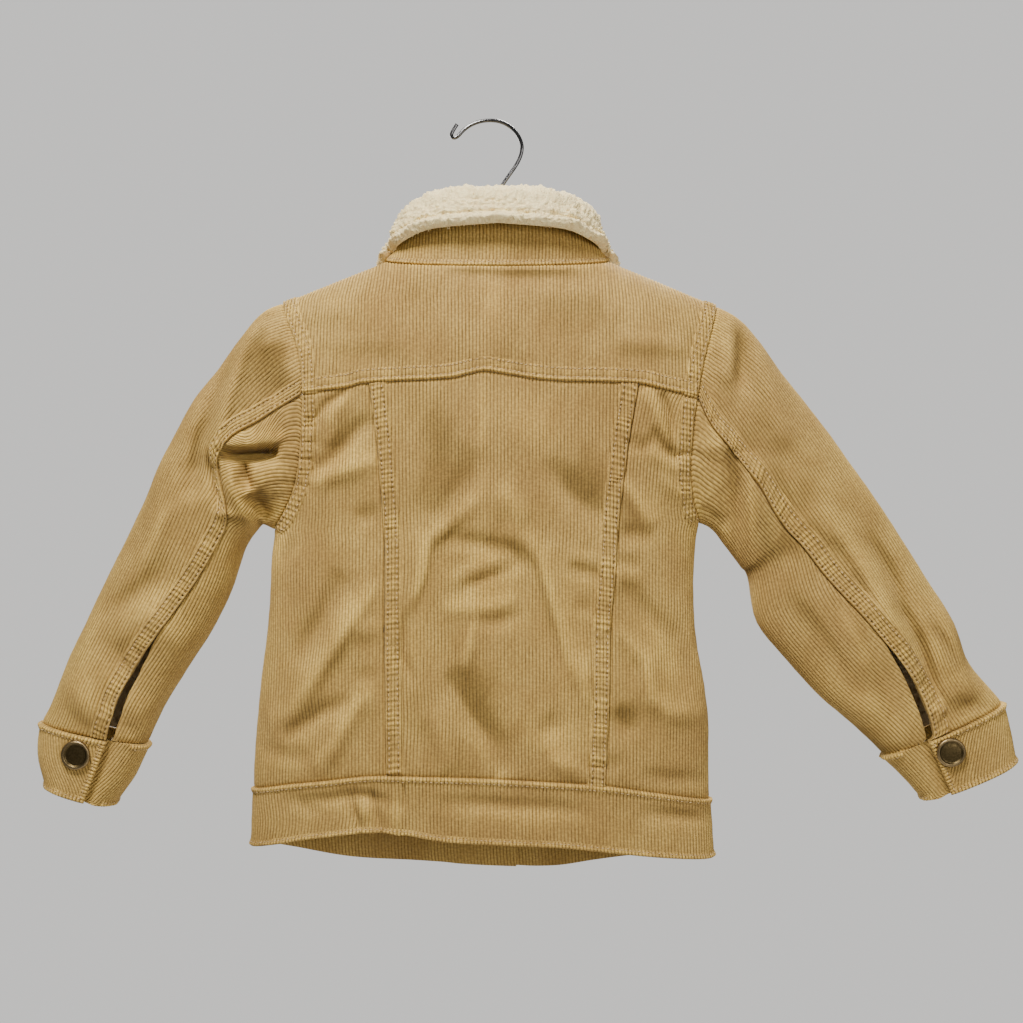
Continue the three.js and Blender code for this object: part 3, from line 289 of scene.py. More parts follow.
def topEdge(side, x):
    neck = bodyCut["neck"]
    across = (x - neck["x"]) / neck["half"]
    inNeck = np.abs(across) < 1
    curved = np.sqrt(np.maximum(0, 1 - across**2))
    dip = bodyCut["neckDip"][side] * (curved if side == back else curved**2)
    tipX = np.where(x > neck["x"], bodyCut["shoulderTip"][left][0], bodyCut["shoulderTip"][right][0])
    tipZ = np.where(x > neck["x"], bodyCut["shoulderTip"][left][1], bodyCut["shoulderTip"][right][1])
    cornerX = neck["x"] + np.sign(across) * neck["half"]
    slope = mix(neck["z"], tipZ, (x - cornerX) / (tipX - cornerX))
    return np.where(inNeck, neck["z"] - dip, slope), np.where(inNeck, neck[side] * curved, 0)


def bodyDepth(side, x, z):
    sections = bodyCut["sections"]
    far, near = sections["left"](z), sections["right"](z)
    across = np.clip(np.abs(x - (far + near) / 2) / ((far - near) / 2), 0, 1)
    power = bodyCut["round"][side]
    full = sections["back" if side == back else "front"](z) * (1 - across**power) ** (1 / power)
    topZ, topY = topEdge(side, x)
    below = np.clip((topZ - z) / bodyCut["shoulderDrop"], 0, 1)
    plain = mix(topY, full, np.sqrt(1 - (1 - below) ** 2))
    soft = creaseHeight(bodyCreases[side], x, z) + rumple(x, z, 46, 0.5, 4 + side)
    return plain + soft * np.clip((plain - 4) / 14, 0, 1)


def bodyFacing(side, x, z):
    step = 0.05
    slopeX = (bodyDepth(side, x + step, z) - bodyDepth(side, x - step, z)) / (2 * step)
    slopeZ = (bodyDepth(side, x, z + step) - bodyDepth(side, x, z - step)) / (2 * step)
    return unit(stack(-slopeX, side, -slopeZ))


def bodyPoint(side, x, z, apart=0.15):
    return stack(x, side * np.maximum(bodyDepth(side, x, z), apart), z)


def armholeX(hand, side, z):
    top, bottom = bodyCut["shoulderTip"][hand][1], bodyCut["underarm"][hand]
    down = np.clip((top - z) / (top - bottom), 0, 1)
    scoop = hand * bodyCut["frontScoop"] * np.sin(math.pi * down) if side == front else 0
    return armholeLine[hand](z) - scoop


def armholeFacing(hand, side, z):
    top, bottom = bodyCut["shoulderTip"][hand][1], bodyCut["underarm"][hand]
    up = np.clip((z - (top + bottom) / 2) / ((top - bottom) / 2), -1, 1)
    return unit(stack(0, side * np.sqrt(np.maximum(0, 1 - up**2)), up * 0.9))


def panelSide(hand, side, z):
    onBody = bodyCut["sections"]["left" if hand == left else "right"](z)
    return np.where(z > bodyCut["underarm"][hand], armholeX(hand, side, z), onBody)


# Corduroy. Its ribs are modelled: columns of points run along them, a quarter of a rib apart.
corduroy = {"pitch": 2.31, "rib": 0.55, "thickness": 1.5, "rowStep": 3.6, "color": (0.392, 0.258, 0.083)}
seamAllowance = {"dip": 0.9, "over": 1.3}  # a seam pulls the cloth down this far, over this distance


def rowShares(length, step, near=0.0):
    # Shares down a piece: close together at both ends.
    ends = [0, 0.6, 1.3, 2.4]
    shares = [v / length for v in ends]
    grow = max(near, 1.5)
    while shares[-1] * length < length - 2.4 - step:
        shares.append(shares[-1] + grow / length)
        grow = min(step, grow * 1.35)
    shares = [v for v in shares if v * length < length - 2.4 - grow * 0.4]
    return np.array(shares + [1 - v / length for v in reversed(ends)])


def followGrain(points, facing, grain, reference, slanted=False):
    # Runs columns along the ribs. Where a rib meets the edge of the piece, its column follows that edge.
    steps = np.diff(points, axis=1)
    along = (grain[:, 1:] + grain[:, :-1]) / 2 if grain.shape[1] > 1 else grain
    steps = steps - (steps * along).sum(-1, keepdims=True) * along
    across = np.concatenate([np.zeros((len(points), 1)), np.cumsum(np.linalg.norm(steps, axis=-1), axis=1)], axis=1)
    places = np.arange(points.shape[1])
    for row, at in enumerate(np.broadcast_to(reference, len(points))):
        across[row] -= np.interp(at, places, across[row])
    if slanted:
        # The ribs cross the reference line, so each row starts its count where the last one left it.
        near = np.clip(np.round(np.broadcast_to(reference, len(points))).astype(int), 1, points.shape[1] - 2)
        rows = np.arange(len(points))
        at, ahead = points[rows, near], points[rows, near + 1] - points[rows, near - 1]
        flow = np.broadcast_to(grain[:, 0], at.shape)
        aside = unit(np.cross(facing[rows, near], flow))
        aside = aside * np.sign((aside * ahead).sum(-1, keepdims=True))
        moved = (np.diff(at, axis=0) * (aside[1:] + aside[:-1]) / 2).sum(-1)
        across = across + np.concatenate([[0], np.cumsum(moved)])[:, None]
    for _ in range(8):
        across[1:-1] = (across[:-2] + 2 * across[1:-1] + across[2:]) / 4
    gap = corduroy["pitch"] / 4
    columns = np.arange(math.floor(across[:, 0].min() / gap), math.ceil(across[:, -1].max() / gap) + 1) * gap
    kept = np.clip(columns, across[:, :1], across[:, -1:])
    spots = np.stack([np.interp(kept[row], across[row], places) for row in range(len(points))])
    low = np.minimum(spots.astype(int), points.shape[1] - 2)
    share = (spots - low)[..., None]
    rows = np.arange(len(points))[:, None]
    laid = mix(points[rows, low], points[rows, low + 1], share)
    turned = unit(mix(facing[rows, low], facing[rows, low + 1], share))
    fromEdge = np.minimum(kept - across[:, :1], across[:, -1:] - kept)
    return laid, turned, kept, fromEdge


def ribHeight(across, along, fromEdge):
    worn = 1 + 0.22 * np.sin(along / 9.1 + across / 3.7) * np.sin(along / 3.3 - across / 7.9)
    ridge = np.abs(np.sin(math.pi * across / corduroy["pitch"])) ** 0.9
    return corduroy["rib"] * ridge * worn * np.clip(fromEdge / 1.2, 0.15, 1)


def runLength(points):
    # How far down each row lies, along the middle of the piece.
    middle = points[:, points.shape[1] // 2]
    return np.concatenate([[0], np.cumsum(np.linalg.norm(np.diff(middle, axis=0), axis=1))])


def deselectAll():
    if bpy.context.object and bpy.context.object.mode != "OBJECT":
        bpy.ops.object.mode_set(mode="OBJECT")
    bpy.ops.object.select_all(action="DESELECT")


# Patches where the pile lies differently, painted paler where it catches the light and darker where it lies in shade:
# middle, reach across and down, and how much.
paintedLightPatches = [
    (-27, -212, 22, 34, 0.24), (32, -212, 20, 30, -0.2), (-63, -225, 12, 30, -0.2), (6, -326, 26, 12, 0.3),
    (6, -388, 16, 26, -0.34), (-59, -349, 10, 36, 0.2), (45, -401, 14, 14, -0.16), (-46, -414, 20, 16, 0.2),
    (104, -212, 12, 10, -0.2), (91, -231, 20, 8, 0.26), (117, -323, 20, 40, -0.16), (88, -329, 14, 14, 0.22),
    (-108, -261, 10, 20, 0.3), (-99, -297, 20, 14, -0.16), (-117, -368, 12, 36, 0.26), (-92, -408, 14, 20, -0.26),
    (5, -205, 4, 44, 0.3), (-3, -125, 8, 40, 0.2), (70, -170, 30, 12, -0.12), (-96, -128, 22, 14, 0.16),
    (33, -237, 13, 34, -0.24), (-62, -247, 26, 16, -0.26), (44, -316, 4, 30, 0.2), (-50, -352, 5, 40, 0.28),
    (-8, -120, 110, 36, -0.14), (152, -164, 22, 28, -0.5), (186, -206, 26, 44, -0.16), (176, -150, 12, 20, 0.12), (-183, -168, 12, 34, -0.34), (-200, -300, 26, 50, -0.34),
    (-168, -228, 12, 26, -0.24), (-236, -250, 24, 40, 0.12), (215, -330, 24, 30, 0.12), (246, -300, 20, 40, -0.1),
    (108, -466, 24, 12, -0.14), (-24, -468, 30, 10, 0.14), (-70, -140, 40, 22, -0.1), (50, -140, 40, 26, 0.08),
]


def averaged(values, axis, reach):
    # The mean of each value and those within reach of it.
    count = values.shape[axis]
    low, high = np.maximum(np.arange(count) - reach, 0), np.minimum(np.arange(count) + reach + 1, count)
    total = np.concatenate([0 * np.take(values, [0], axis), np.cumsum(values, axis)], axis)
    span = high - low
    return (np.take(total, high, axis) - np.take(total, low, axis)) / (span[:, None] if axis == 0 else span)


def napOf(points, facing):
    # Painted light and shade for the pile's colour: fold crests and cloth that turns up are painted paler, a painted
    # highlight, and hollows and cloth that turns down are painted darker, a painted shade.
    rows, columns = points.shape[:2]
    turn = np.zeros((rows, columns))
    for axis, reach in ((0, 1), (0, 2), (1, 5), (1, 9)):
        reach = min(reach, (points.shape[axis] - 1) // 2)
        before = [slice(None), slice(None)]
        after = [slice(None), slice(None)]
        within = [slice(None), slice(None)]
        before[axis], after[axis], within[axis] = slice(None, -2 * reach), slice(2 * reach, None), slice(reach, -reach)
        apart = points[tuple(after)] - points[tuple(before)]
        swing = ((facing[tuple(after)] - facing[tuple(before)]) * apart).sum(-1)
        turn[tuple(within)] += swing / np.maximum((apart**2).sum(-1), 0.5) / 2
    for _ in range(3):
        turn[1:-1] = (turn[:-2] + 2 * turn[1:-1] + turn[2:]) / 4
    # The listed patches are painted paler and darker, on the back only.
    paintedPatchLight = sum(
        amount * np.exp(-(((points[..., 0] - x) / wide) ** 2) - ((points[..., 2] - z) / tall) ** 2)
        for x, z, wide, tall, amount in paintedLightPatches
    ) * (points[..., 1] > 0)
    # Cloth that faces up more than the cloth round it is painted paler and cloth that faces down darker, as painted
    # light from above; crests are painted paler and hollows darker.
    paintedTiltLight = averaged(averaged(facing[..., 2], 0, 1), 1, 4) - averaged(averaged(facing[..., 2], 0, 9), 1, 36)
    bent = 10 * np.maximum(turn - 0.004, 0) + 2.2 * np.minimum(turn, 0)
    return np.clip(0.5 + 0.48 * np.tanh(bent + 3 * paintedTiltLight) + paintedPatchLight, 0, 1)


def laySheet(name, outer, inner, uv, finish, lining=None, smoothAngle=70, threshold=0.03, nap=None):
    # A grid is added, given its wall with Solidify, and its points are put where the cloth lies.
    rows, columns = outer.shape[:2]
    if columns > 40:
        # The inner face is plain, so only every fourth line of its points is kept apart.
        kept = np.minimum((np.arange(columns) + 2) // 4 * 4, columns - 1)
        kept[0], kept[-1] = 0, columns - 1
        inner, under = inner[:, kept], uv[:, kept]
    else:
        under = uv
    crossed = np.cross(outer[rows // 2, columns // 2 + 1] - outer[rows // 2, columns // 2],
                       outer[rows // 2 + 1, columns // 2] - outer[rows // 2, columns // 2])
    if np.dot(crossed, outer[rows // 2, columns // 2] - inner[rows // 2, columns // 2]) < 0:
        outer, inner, uv, under = outer[:, ::-1], inner[:, ::-1], uv[:, ::-1], under[:, ::-1]
        nap = None if nap is None else nap[:, ::-1]
    deselectAll()
    bpy.ops.mesh.primitive_grid_add(x_subdivisions=columns - 1, y_subdivisions=rows - 1, size=1, calc_uvs=True)
    piece = bpy.context.object
    piece.name = piece.data.name = name
    piece.data.materials.append(finish)
    if lining:
        piece.data.materials.append(lining)
    wall = piece.modifiers.new("wall", "SOLIDIFY")
    wall.thickness, wall.offset, wall.material_offset = 0.01, -1, 1 if lining else 0
    bpy.ops.object.modifier_apply(modifier=wall.name)
    mesh = piece.data
    places = np.concatenate([outer.reshape(-1, 3), inner.reshape(-1, 3)]) * mm
    mesh.vertices.foreach_set("co", places.ravel())
    corners = np.empty(len(mesh.loops), int)
    mesh.loops.foreach_get("vertex_index", corners)
    flat = np.concatenate([uv.reshape(-1, 2), under.reshape(-1, 2)]) * mm
    mesh.uv_layers.active.data.foreach_set("uv", flat[corners].ravel())
    # The point attribute holds the painted light and shade that the corduroy finish mixes into its colour; 0.5 leaves
    # the colour as it is.
    lie = mesh.attributes.new("nap", "FLOAT", "POINT")
    lie.data.foreach_set("value", np.full(len(places), 0.5) if nap is None else np.concatenate([nap.ravel()] * 2))
    mesh.update()
    bpy.ops.object.mode_set(mode="EDIT")
    bpy.ops.mesh.select_all(action="SELECT")
    bpy.ops.mesh.remove_doubles(threshold=threshold * mm)
    bpy.ops.mesh.dissolve_degenerate(threshold=threshold * mm / 3)
    bpy.ops.object.mode_set(mode="OBJECT")
    bpy.ops.object.shade_smooth_by_angle(angle=math.radians(smoothAngle))
    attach(piece, "root")
    return piece


def edgeDip(distance):
    return -seamAllowance["dip"] * np.exp(-((distance / seamAllowance["over"]) ** 2))


def sewPiece(name, node, points, facing, grain, reference, inside, sunk=0.0, thickness=None, dips="tblr",
             slanted=False):
    # One cut piece of corduroy: ribs outside, a plain face inside, and its edges pulled down into their seams.
    laid, turned, across, fromEdge = followGrain(points, facing, grain, reference, slanted)
    down = runLength(points)
    along = np.broadcast_to(down[:, None], across.shape)
    lift = ribHeight(across, along, fromEdge) - sunk
    if "l" in dips:
        lift = lift + edgeDip(fromEdge)
    if "t" in dips:
        lift = lift + edgeDip(along)
    if "b" in dips:
        lift = lift + edgeDip(down[-1] - along)
    thick = corduroy["thickness"] if thickness is None else thickness
    outer = laid + turned * lift[..., None]
    inner = laid - turned * (thick + sunk)
    piece = laySheet(name, outer, inner, np.stack([across, along], axis=-1), inside[0], inside[1], nap=napOf(laid, turned))
    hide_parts(node)
    return piece


def settle(edge, shares, rows):
    across, down = np.meshgrid(shares, rows)
    z = mix(edge["top"](0 * across), edge["bottom"](0 * across), down)
    for _ in range(12):
        x = mix(edge["from"](z), edge["to"](z), across)
        z = mix(edge["top"](x), edge["bottom"](x), down)
    return x, z


def bodyPanel(name, node, side, edge, rows, shares, grainX, inside, dips="tblr", shift=None):
    x, z = settle(edge, shares, rows)
    points, facing = bodyPoint(side, x, z), bodyFacing(side, x, z)
    neck = bodyCut["neck"]
    if edge.get("shoulder"):
        for hand in (left, right):
            tipX, tipZ = bodyCut["shoulderTip"][hand]
            straightUp = unit(np.array([-(tipZ - neck["z"]) * hand, 0, (tipX - neck["x"] - hand * neck["half"]) * hand]))
            onRidge = (np.abs(x[0] - neck["x"]) > neck["half"]) & (np.sign(x[0] - neck["x"]) == hand)
            facing[0][onRidge] = straightUp
    for column, hand in edge.get("armhole", {}).items():
        above = z[:, column] > bodyCut["underarm"][hand]
        facing[above, column] = armholeFacing(hand, side, z[above, column])
    if shift is not None:
        points = points + facing * shift(x)[..., None]
    step = 0.5
    downhill = bodyPoint(side, x, z - step) - bodyPoint(side, x, z + step)
    grain = unit(downhill * np.array([0, 1, 1]))
    middle = len(rows) // 2
    reference = [np.interp(grainX, row, np.arange(len(row))) for row in x]
    return sewPiece(name, node, points, facing, grain, reference, inside, dips=dips)


# Finishes. Each effect that several of them use is a node group.
def newGroup(name, inputs, outputs):
    group = bpy.data.node_groups.new(name, "ShaderNodeTree")
    for label, kind, value in inputs:
        socket = group.interface.new_socket(label, in_out="INPUT", socket_type=kind)
        if value is not None:
            socket.default_value = value
    for label, kind in outputs:
        group.interface.new_socket(label, in_out="OUTPUT", socket_type=kind)
    return group, group.nodes.new("NodeGroupInput"), group.nodes.new("NodeGroupOutput")


def addNode(tree, kind, settings=None, **inputs):
    node = tree.nodes.new(kind)
    for key, value in (settings or {}).items():
        setattr(node, key, value)
    for key, value in inputs.items():
        socket = node.inputs[int(key[1:])] if key[0] == "i" and key[1:].isdigit() else node.inputs[key.replace("_", " ")]
        if isinstance(value, bpy.types.NodeSocket):
            tree.links.new(value, socket)
        else:
            socket.default_value = value
    return node


def maths(tree, operation, a, b=0.0, c=None, clamp=False):
    inputs = {"i0": a, "i1": b}
    if c is not None:
        inputs["i2"] = c
    return addNode(tree, "ShaderNodeMath", {"operation": operation, "use_clamp": clamp}, **inputs).outputs[0]


def remap(tree, value, low, high, toLow, toHigh):
    node = addNode(tree, "ShaderNodeMapRange", {"interpolation_type": "SMOOTHSTEP"}, Value=value, From_Min=low,
                   From_Max=high, To_Min=toLow, To_Max=toHigh)
    return node.outputs[0]


def noiseAt(tree, where, scale, detail=3.0, rough=0.55):
    return addNode(tree, "ShaderNodeTexNoise", None, Vector=where, Scale=scale, Detail=detail, Roughness=rough).outputs[0]


def mixColor(tree, share, a, b, kind="MIX"):
    node = addNode(tree, "ShaderNodeMix", {"data_type": "RGBA", "blend_type": kind, "clamp_factor": True})
    for index, value in ((0, share), (6, a), (7, b)):
        if isinstance(value, bpy.types.NodeSocket):
            tree.links.new(value, node.inputs[index])
        else:
            node.inputs[index].default_value = value if index == 0 else (*value[:3], 1)
    return node.outputs[2]


def buildRibbedNap():
    # Ribs from the cloth's own measure across, pile that lies lighter and darker in patches, and loose pile; the rib
    # valleys get painted shade, pale dashes along the ribs are painted highlights, and the mesh's painted fold light
    # and shade is mixed in.
    group, given, out = newGroup(
        "ribbedNap",
        [("Color", "NodeSocketColor", (0.4, 0.25, 0.1, 1)), ("Rib", "NodeSocketFloat", 0.6),
         ("Patches", "NodeSocketFloat", 0.5), ("Fade", "NodeSocketFloat", 0.0)],
        [("Color", "NodeSocketColor"), ("Height", "NodeSocketFloat"), ("Pile", "NodeSocketFloat")],
    )
    uv = addNode(group, "ShaderNodeUVMap").outputs[0]
    where = addNode(group, "ShaderNodeTexCoord").outputs["Object"]
    split = addNode(group, "ShaderNodeSeparateXYZ", None, i0=uv).outputs
    count = maths(group, "DIVIDE", split[0], corduroy["pitch"] * mm)
    saw = maths(group, "PINGPONG", count, 0.5)
    ridge = remap(group, saw, 0.03, 0.27, 0, 1)
    stretched = addNode(group, "ShaderNodeMapping", None, Vector=uv, Scale=(1.0, 0.28, 1.0)).outputs[0]
    tufts = noiseAt(group, stretched, 1500, 2)
    highlightDashes = noiseAt(group, addNode(group, "ShaderNodeMapping", None, Vector=uv, Scale=(1.0, 1.6, 1.0)).outputs[0], 420, 2)
    streaks = noiseAt(group, addNode(group, "ShaderNodeMapping", None, Vector=where, Scale=(1.0, 1.0, 0.45)).outputs[0], 26, 4, 0.6)
    patches = noiseAt(group, where, 46, 3, 0.6)
    broad = noiseAt(group, where, 9, 2)
    lie = maths(group, "ADD", maths(group, "MULTIPLY", streaks, 0.5), maths(group, "MULTIPLY", patches, 0.5))
    lie = remap(group, lie, 0.36, 0.66, 0, 1)
    paintedFoldLight = addNode(group, "ShaderNodeAttribute", {"attribute_type": "GEOMETRY", "attribute_name": "nap"}).outputs["Fac"]
    pale = mixColor(group, 1.0, given.outputs["Color"], (1.19, 1.21, 1.12), "MULTIPLY")
    deep = mixColor(group, 1.0, given.outputs["Color"], (0.84, 0.8, 0.74), "MULTIPLY")
    nap = mixColor(group, maths(group, "MULTIPLY", lie, given.outputs["Patches"]), deep, pale)
    nap = mixColor(group, maths(group, "MULTIPLY", remap(group, broad, 0.4, 0.65, 0, 1), 0.18), nap, (0.30, 0.175, 0.07))
    # Below 0.5 the colour is painted darker, a painted shade in hollows and where the cloth turns down; above 0.5 it is
    # painted paler, a painted highlight.
    nap = mixColor(group, remap(group, paintedFoldLight, 0.5, 0.0, 0, 1.0), nap, mixColor(group, 1.0, nap, (0.57, 0.56, 0.52), "MULTIPLY"))
    nap = mixColor(group, remap(group, paintedFoldLight, 0.5, 1.0, 0, 1.0), nap, mixColor(group, 1.0, nap, (1.36, 1.39, 1.28), "MULTIPLY"))
    # Pale dashes along the ribs are painted highlights, where the pile catches the light.
    flecksAndHighlights = mixColor(group, maths(group, "MULTIPLY", remap(group, highlightDashes, 0.42, 0.62, 0, 1), 0.85), nap, mixColor(group, 1.0, nap, (1.36, 1.39, 1.32), "MULTIPLY"))
    specks = noiseAt(group, uv, 900, 2, 0.7)
    flecksAndHighlights = mixColor(group, maths(group, "MULTIPLY", remap(group, specks, 0.5, 0.3, 0, 1), 0.35), flecksAndHighlights, deep)
    # The rib valleys are painted darker, a painted shade, by as much as the Rib input and the patch noise give.
    valleyShade = mixColor(group, 1.0, flecksAndHighlights, (0.36, 0.31, 0.24), "MULTIPLY")
    worn = remap(group, maths(group, "ADD", patches, tufts), 0.75, 1.2, 0.5, 1.12)
    depth = maths(group, "MULTIPLY", maths(group, "SUBTRACT", 1.0, ridge), maths(group, "MULTIPLY", given.outputs["Rib"], worn))
    shaded = mixColor(group, depth, flecksAndHighlights, valleyShade)
    faded = mixColor(group, given.outputs["Fade"], shaded, pale)
    group.links.new(faded, out.inputs["Color"])
    height = maths(group, "ADD", maths(group, "MULTIPLY", ridge, 0.5), maths(group, "MULTIPLY", tufts, 0.5))
    group.links.new(height, out.inputs["Height"])
    group.links.new(lie, out.inputs["Pile"])
    return group


def buildFleece():
    # Short curled pile: pale tips, warmer and darker between the curls.
    group, given, out = newGroup(
        "fleece",
        [("Color", "NodeSocketColor", (0.8, 0.7, 0.5, 1)), ("Between", "NodeSocketColor", (0.5, 0.38, 0.2, 1)),
         ("Scale", "NodeSocketFloat", 300.0)],
        [("Color", "NodeSocketColor"), ("Height", "NodeSocketFloat")],
    )
    where = addNode(group, "ShaderNodeTexCoord").outputs["Object"]
    swirl = addNode(group, "ShaderNodeTexNoise", None, Vector=where, Scale=190.0, Detail=2.0).outputs["Color"]
    bent = addNode(group, "ShaderNodeVectorMath", {"operation": "MULTIPLY_ADD"}, i0=swirl, i1=(0.006, 0.006, 0.006), i2=where).outputs[0]
    curls = addNode(group, "ShaderNodeTexVoronoi", {"feature": "F1"}, Vector=bent, Scale=given.outputs["Scale"]).outputs["Distance"]
    fine = noiseAt(group, bent, 1400, 3, 0.7)
    broad = noiseAt(group, where, 40, 2)
    between = remap(group, curls, 0.3, 0.75, 0, 1)
    color = mixColor(group, maths(group, "MULTIPLY", between, 0.6), given.outputs["Color"], given.outputs["Between"])
    color = mixColor(group, maths(group, "MULTIPLY", remap(group, broad, 0.4, 0.7, 0, 1), 0.15), color, given.outputs["Between"])
    group.links.new(color, out.inputs["Color"])
    height = maths(group, "ADD", maths(group, "MULTIPLY", maths(group, "SUBTRACT", 1.0, curls), 0.7), maths(group, "MULTIPLY", fine, 0.3))
    group.links.new(height, out.inputs["Height"])
    return group


def newFinish(name, **values):
    finish = bpy.data.materials.new(name)
    finish.use_nodes = True
    shader = finish.node_tree.nodes["Principled BSDF"]
    for key, value in values.items():
        shader.inputs[key.replace("_", " ")].default_value = value
    return finish, finish.node_tree, shader


def bumpInto(tree, shader, height, strength, distance):
    bump = addNode(tree, "ShaderNodeBump", None, Strength=strength, Distance=distance, Height=height)
    tree.links.new(bump.outputs[0], shader.inputs["Normal"])


ribbedNap, fleece = buildRibbedNap(), buildFleece()


def corduroyFinish(name, rib=0.78, patches=0.85, fade=0.0):
    finish, tree, shader = newFinish(name, Roughness=0.85, Sheen_Weight=0.12, Sheen_Roughness=0.45,
                                     Sheen_Tint=(1.0, 0.88, 0.68, 1), Specular_IOR_Level=0.15)
    group = addNode(tree, "ShaderNodeGroup", {"node_tree": ribbedNap})
    group.inputs["Color"].default_value = (*corduroy["color"], 1)
    group.inputs["Rib"].default_value = rib
    group.inputs["Patches"].default_value = patches
    group.inputs["Fade"].default_value = fade
    tree.links.new(group.outputs["Color"], shader.inputs["Base Color"])
    tree.links.new(remap(tree, group.outputs["Pile"], 0, 1, 0.92, 0.72), shader.inputs["Roughness"])
    bumpInto(tree, shader, group.outputs["Height"], 0.5, 0.0004)
    return finish


clothFinish = corduroyFinish("corduroyPanel")
bandFinish = corduroyFinish("corduroySeam", rib=0.95, patches=0.9, fade=0.0)


def fleeceFinish(name, color, between, scale, bump):
    finish, tree, shader = newFinish(name, Roughness=0.95, Sheen_Weight=0.3, Sheen_Roughness=0.5,
                                     Sheen_Tint=(1.0, 0.86, 0.62, 1), Specular_IOR_Level=0.1)
    group = addNode(tree, "ShaderNodeGroup", {"node_tree": fleece})
    group.inputs["Color"].default_value = (*color, 1)
    group.inputs["Between"].default_value = (*between, 1)
    group.inputs["Scale"].default_value = scale
    tree.links.new(group.outputs["Color"], shader.inputs["Base Color"])
    bumpInto(tree, shader, group.outputs["Height"], 0.8, bump)
    return finish


sherpaFinish = fleeceFinish("sherpaPile", (1.0, 0.86, 0.47), (0.84, 0.64, 0.33), 420, 0.0012)
liningFinish = fleeceFinish("innerFleece", (0.72, 0.61, 0.42), (0.50, 0.38, 0.22), 260, 0.0016)


def threadFinish():
    finish, tree, shader = newFinish("sewingThread", Roughness=0.55, Sheen_Weight=0.2)
    where = addNode(tree, "ShaderNodeTexCoord").outputs["Object"]
    twist = noiseAt(tree, where, 900, 2)
    color = mixColor(tree, remap(tree, twist, 0.35, 0.65, 0, 1), (0.62, 0.44, 0.21), (0.50, 0.335, 0.14))
    tree.links.new(color, shader.inputs["Base Color"])
    return finish


def brassFinish():
    finish, tree, shader = newFinish("antiqueBrass", Metallic=1.0, Roughness=0.42)
    where = addNode(tree, "ShaderNodeTexCoord").outputs["Object"]
    edge = addNode(tree, "ShaderNodeNewGeometry").outputs["Pointiness"]
    tarnish = noiseAt(tree, where, 700, 4, 0.65)
    color = mixColor(tree, remap(tree, tarnish, 0.35, 0.7, 0, 1), (0.065, 0.047, 0.02), (0.13, 0.094, 0.042))
    color = mixColor(tree, remap(tree, edge, 0.51, 0.58, 0, 1), color, (0.34, 0.25, 0.13))
    tree.links.new(color, shader.inputs["Base Color"])
    tree.links.new(remap(tree, tarnish, 0.3, 0.7, 0.5, 0.36), shader.inputs["Roughness"])
    bumpInto(tree, shader, tarnish, 0.15, 0.0002)
    return finish


def wireFinish():
    finish, tree, shader = newFinish("platedWire", Metallic=1.0, Roughness=0.16)
    where = addNode(tree, "ShaderNodeTexCoord").outputs["Object"]
    scuffs = noiseAt(tree, where, 260, 4, 0.6)
    color = mixColor(tree, remap(tree, scuffs, 0.4, 0.75, 0, 1), (0.13, 0.13, 0.135), (0.08, 0.08, 0.08))
    tree.links.new(color, shader.inputs["Base Color"])
    tree.links.new(remap(tree, scuffs, 0.35, 0.7, 0.12, 0.3), shader.inputs["Roughness"])
    return finish


def woodFinish():
    finish, tree, shader = newFinish("hangerWood", Roughness=0.45, Coat_Weight=0.2, Coat_Roughness=0.3)
    where = addNode(tree, "ShaderNodeTexCoord").outputs["Object"]
    long = addNode(tree, "ShaderNodeMapping", None, Vector=where, Scale=(6.0, 60.0, 60.0)).outputs[0]
    grain = noiseAt(tree, long, 6, 5, 0.65)
    pores = noiseAt(tree, long, 40, 2)
    color = mixColor(tree, remap(tree, grain, 0.35, 0.65, 0, 1), (0.42, 0.26, 0.12), (0.60, 0.42, 0.23))
    color = mixColor(tree, maths(tree, "MULTIPLY", remap(tree, pores, 0.55, 0.75, 0, 1), 0.3), color, (0.24, 0.13, 0.05))
    tree.links.new(color, shader.inputs["Base Color"])
    bumpInto(tree, shader, grain, 0.2, 0.0003)
    return finish


threadLook, brassLook, wireLook, woodLook = threadFinish(), brassFinish(), wireFinish(), woodFinish()
lined = (clothFinish, liningFinish)
unlined = (clothFinish, clothFinish)
print("finishes ready")

inset = 0.15
underlap = 0.9  # the body's cloth runs this far under the waistband
neckX, neckHalf = bodyCut["neck"]["x"], bodyCut["neck"]["half"]

# Felled seams and hems: a folded strip stands proud beside the seam, and each row of stitches puckers it.
seamTrim = {"step": 0.82, "across": 0.6, "fade": 1.7, "lift": 1.15, "stitch": 3.3, "dent": 0.6, "pucker": 0.85}
sewnStitches = []  # (middles, directions, upward directions) of each row, for the thread


def shareOut(points, step):
    # Even spacing along a line of points; gives where each new one falls on the old line.
    run = np.concatenate([[0], np.cumsum(np.linalg.norm(np.diff(points, axis=0), axis=1))])
    even = np.linspace(0, run[-1], max(int(run[-1] / step), 3) + 1)
    return even, np.interp(even, run, np.arange(len(run)))


def acrossSteps(width, step=None):
    near = [0, 0.25, 0.6, 1.05]
    step = seamTrim["across"] if step is None else step
    more = np.arange(near[-1] + step, width + seamTrim["fade"] - step / 3, step)
    return np.concatenate([near, more, [width + seamTrim["fade"]]])


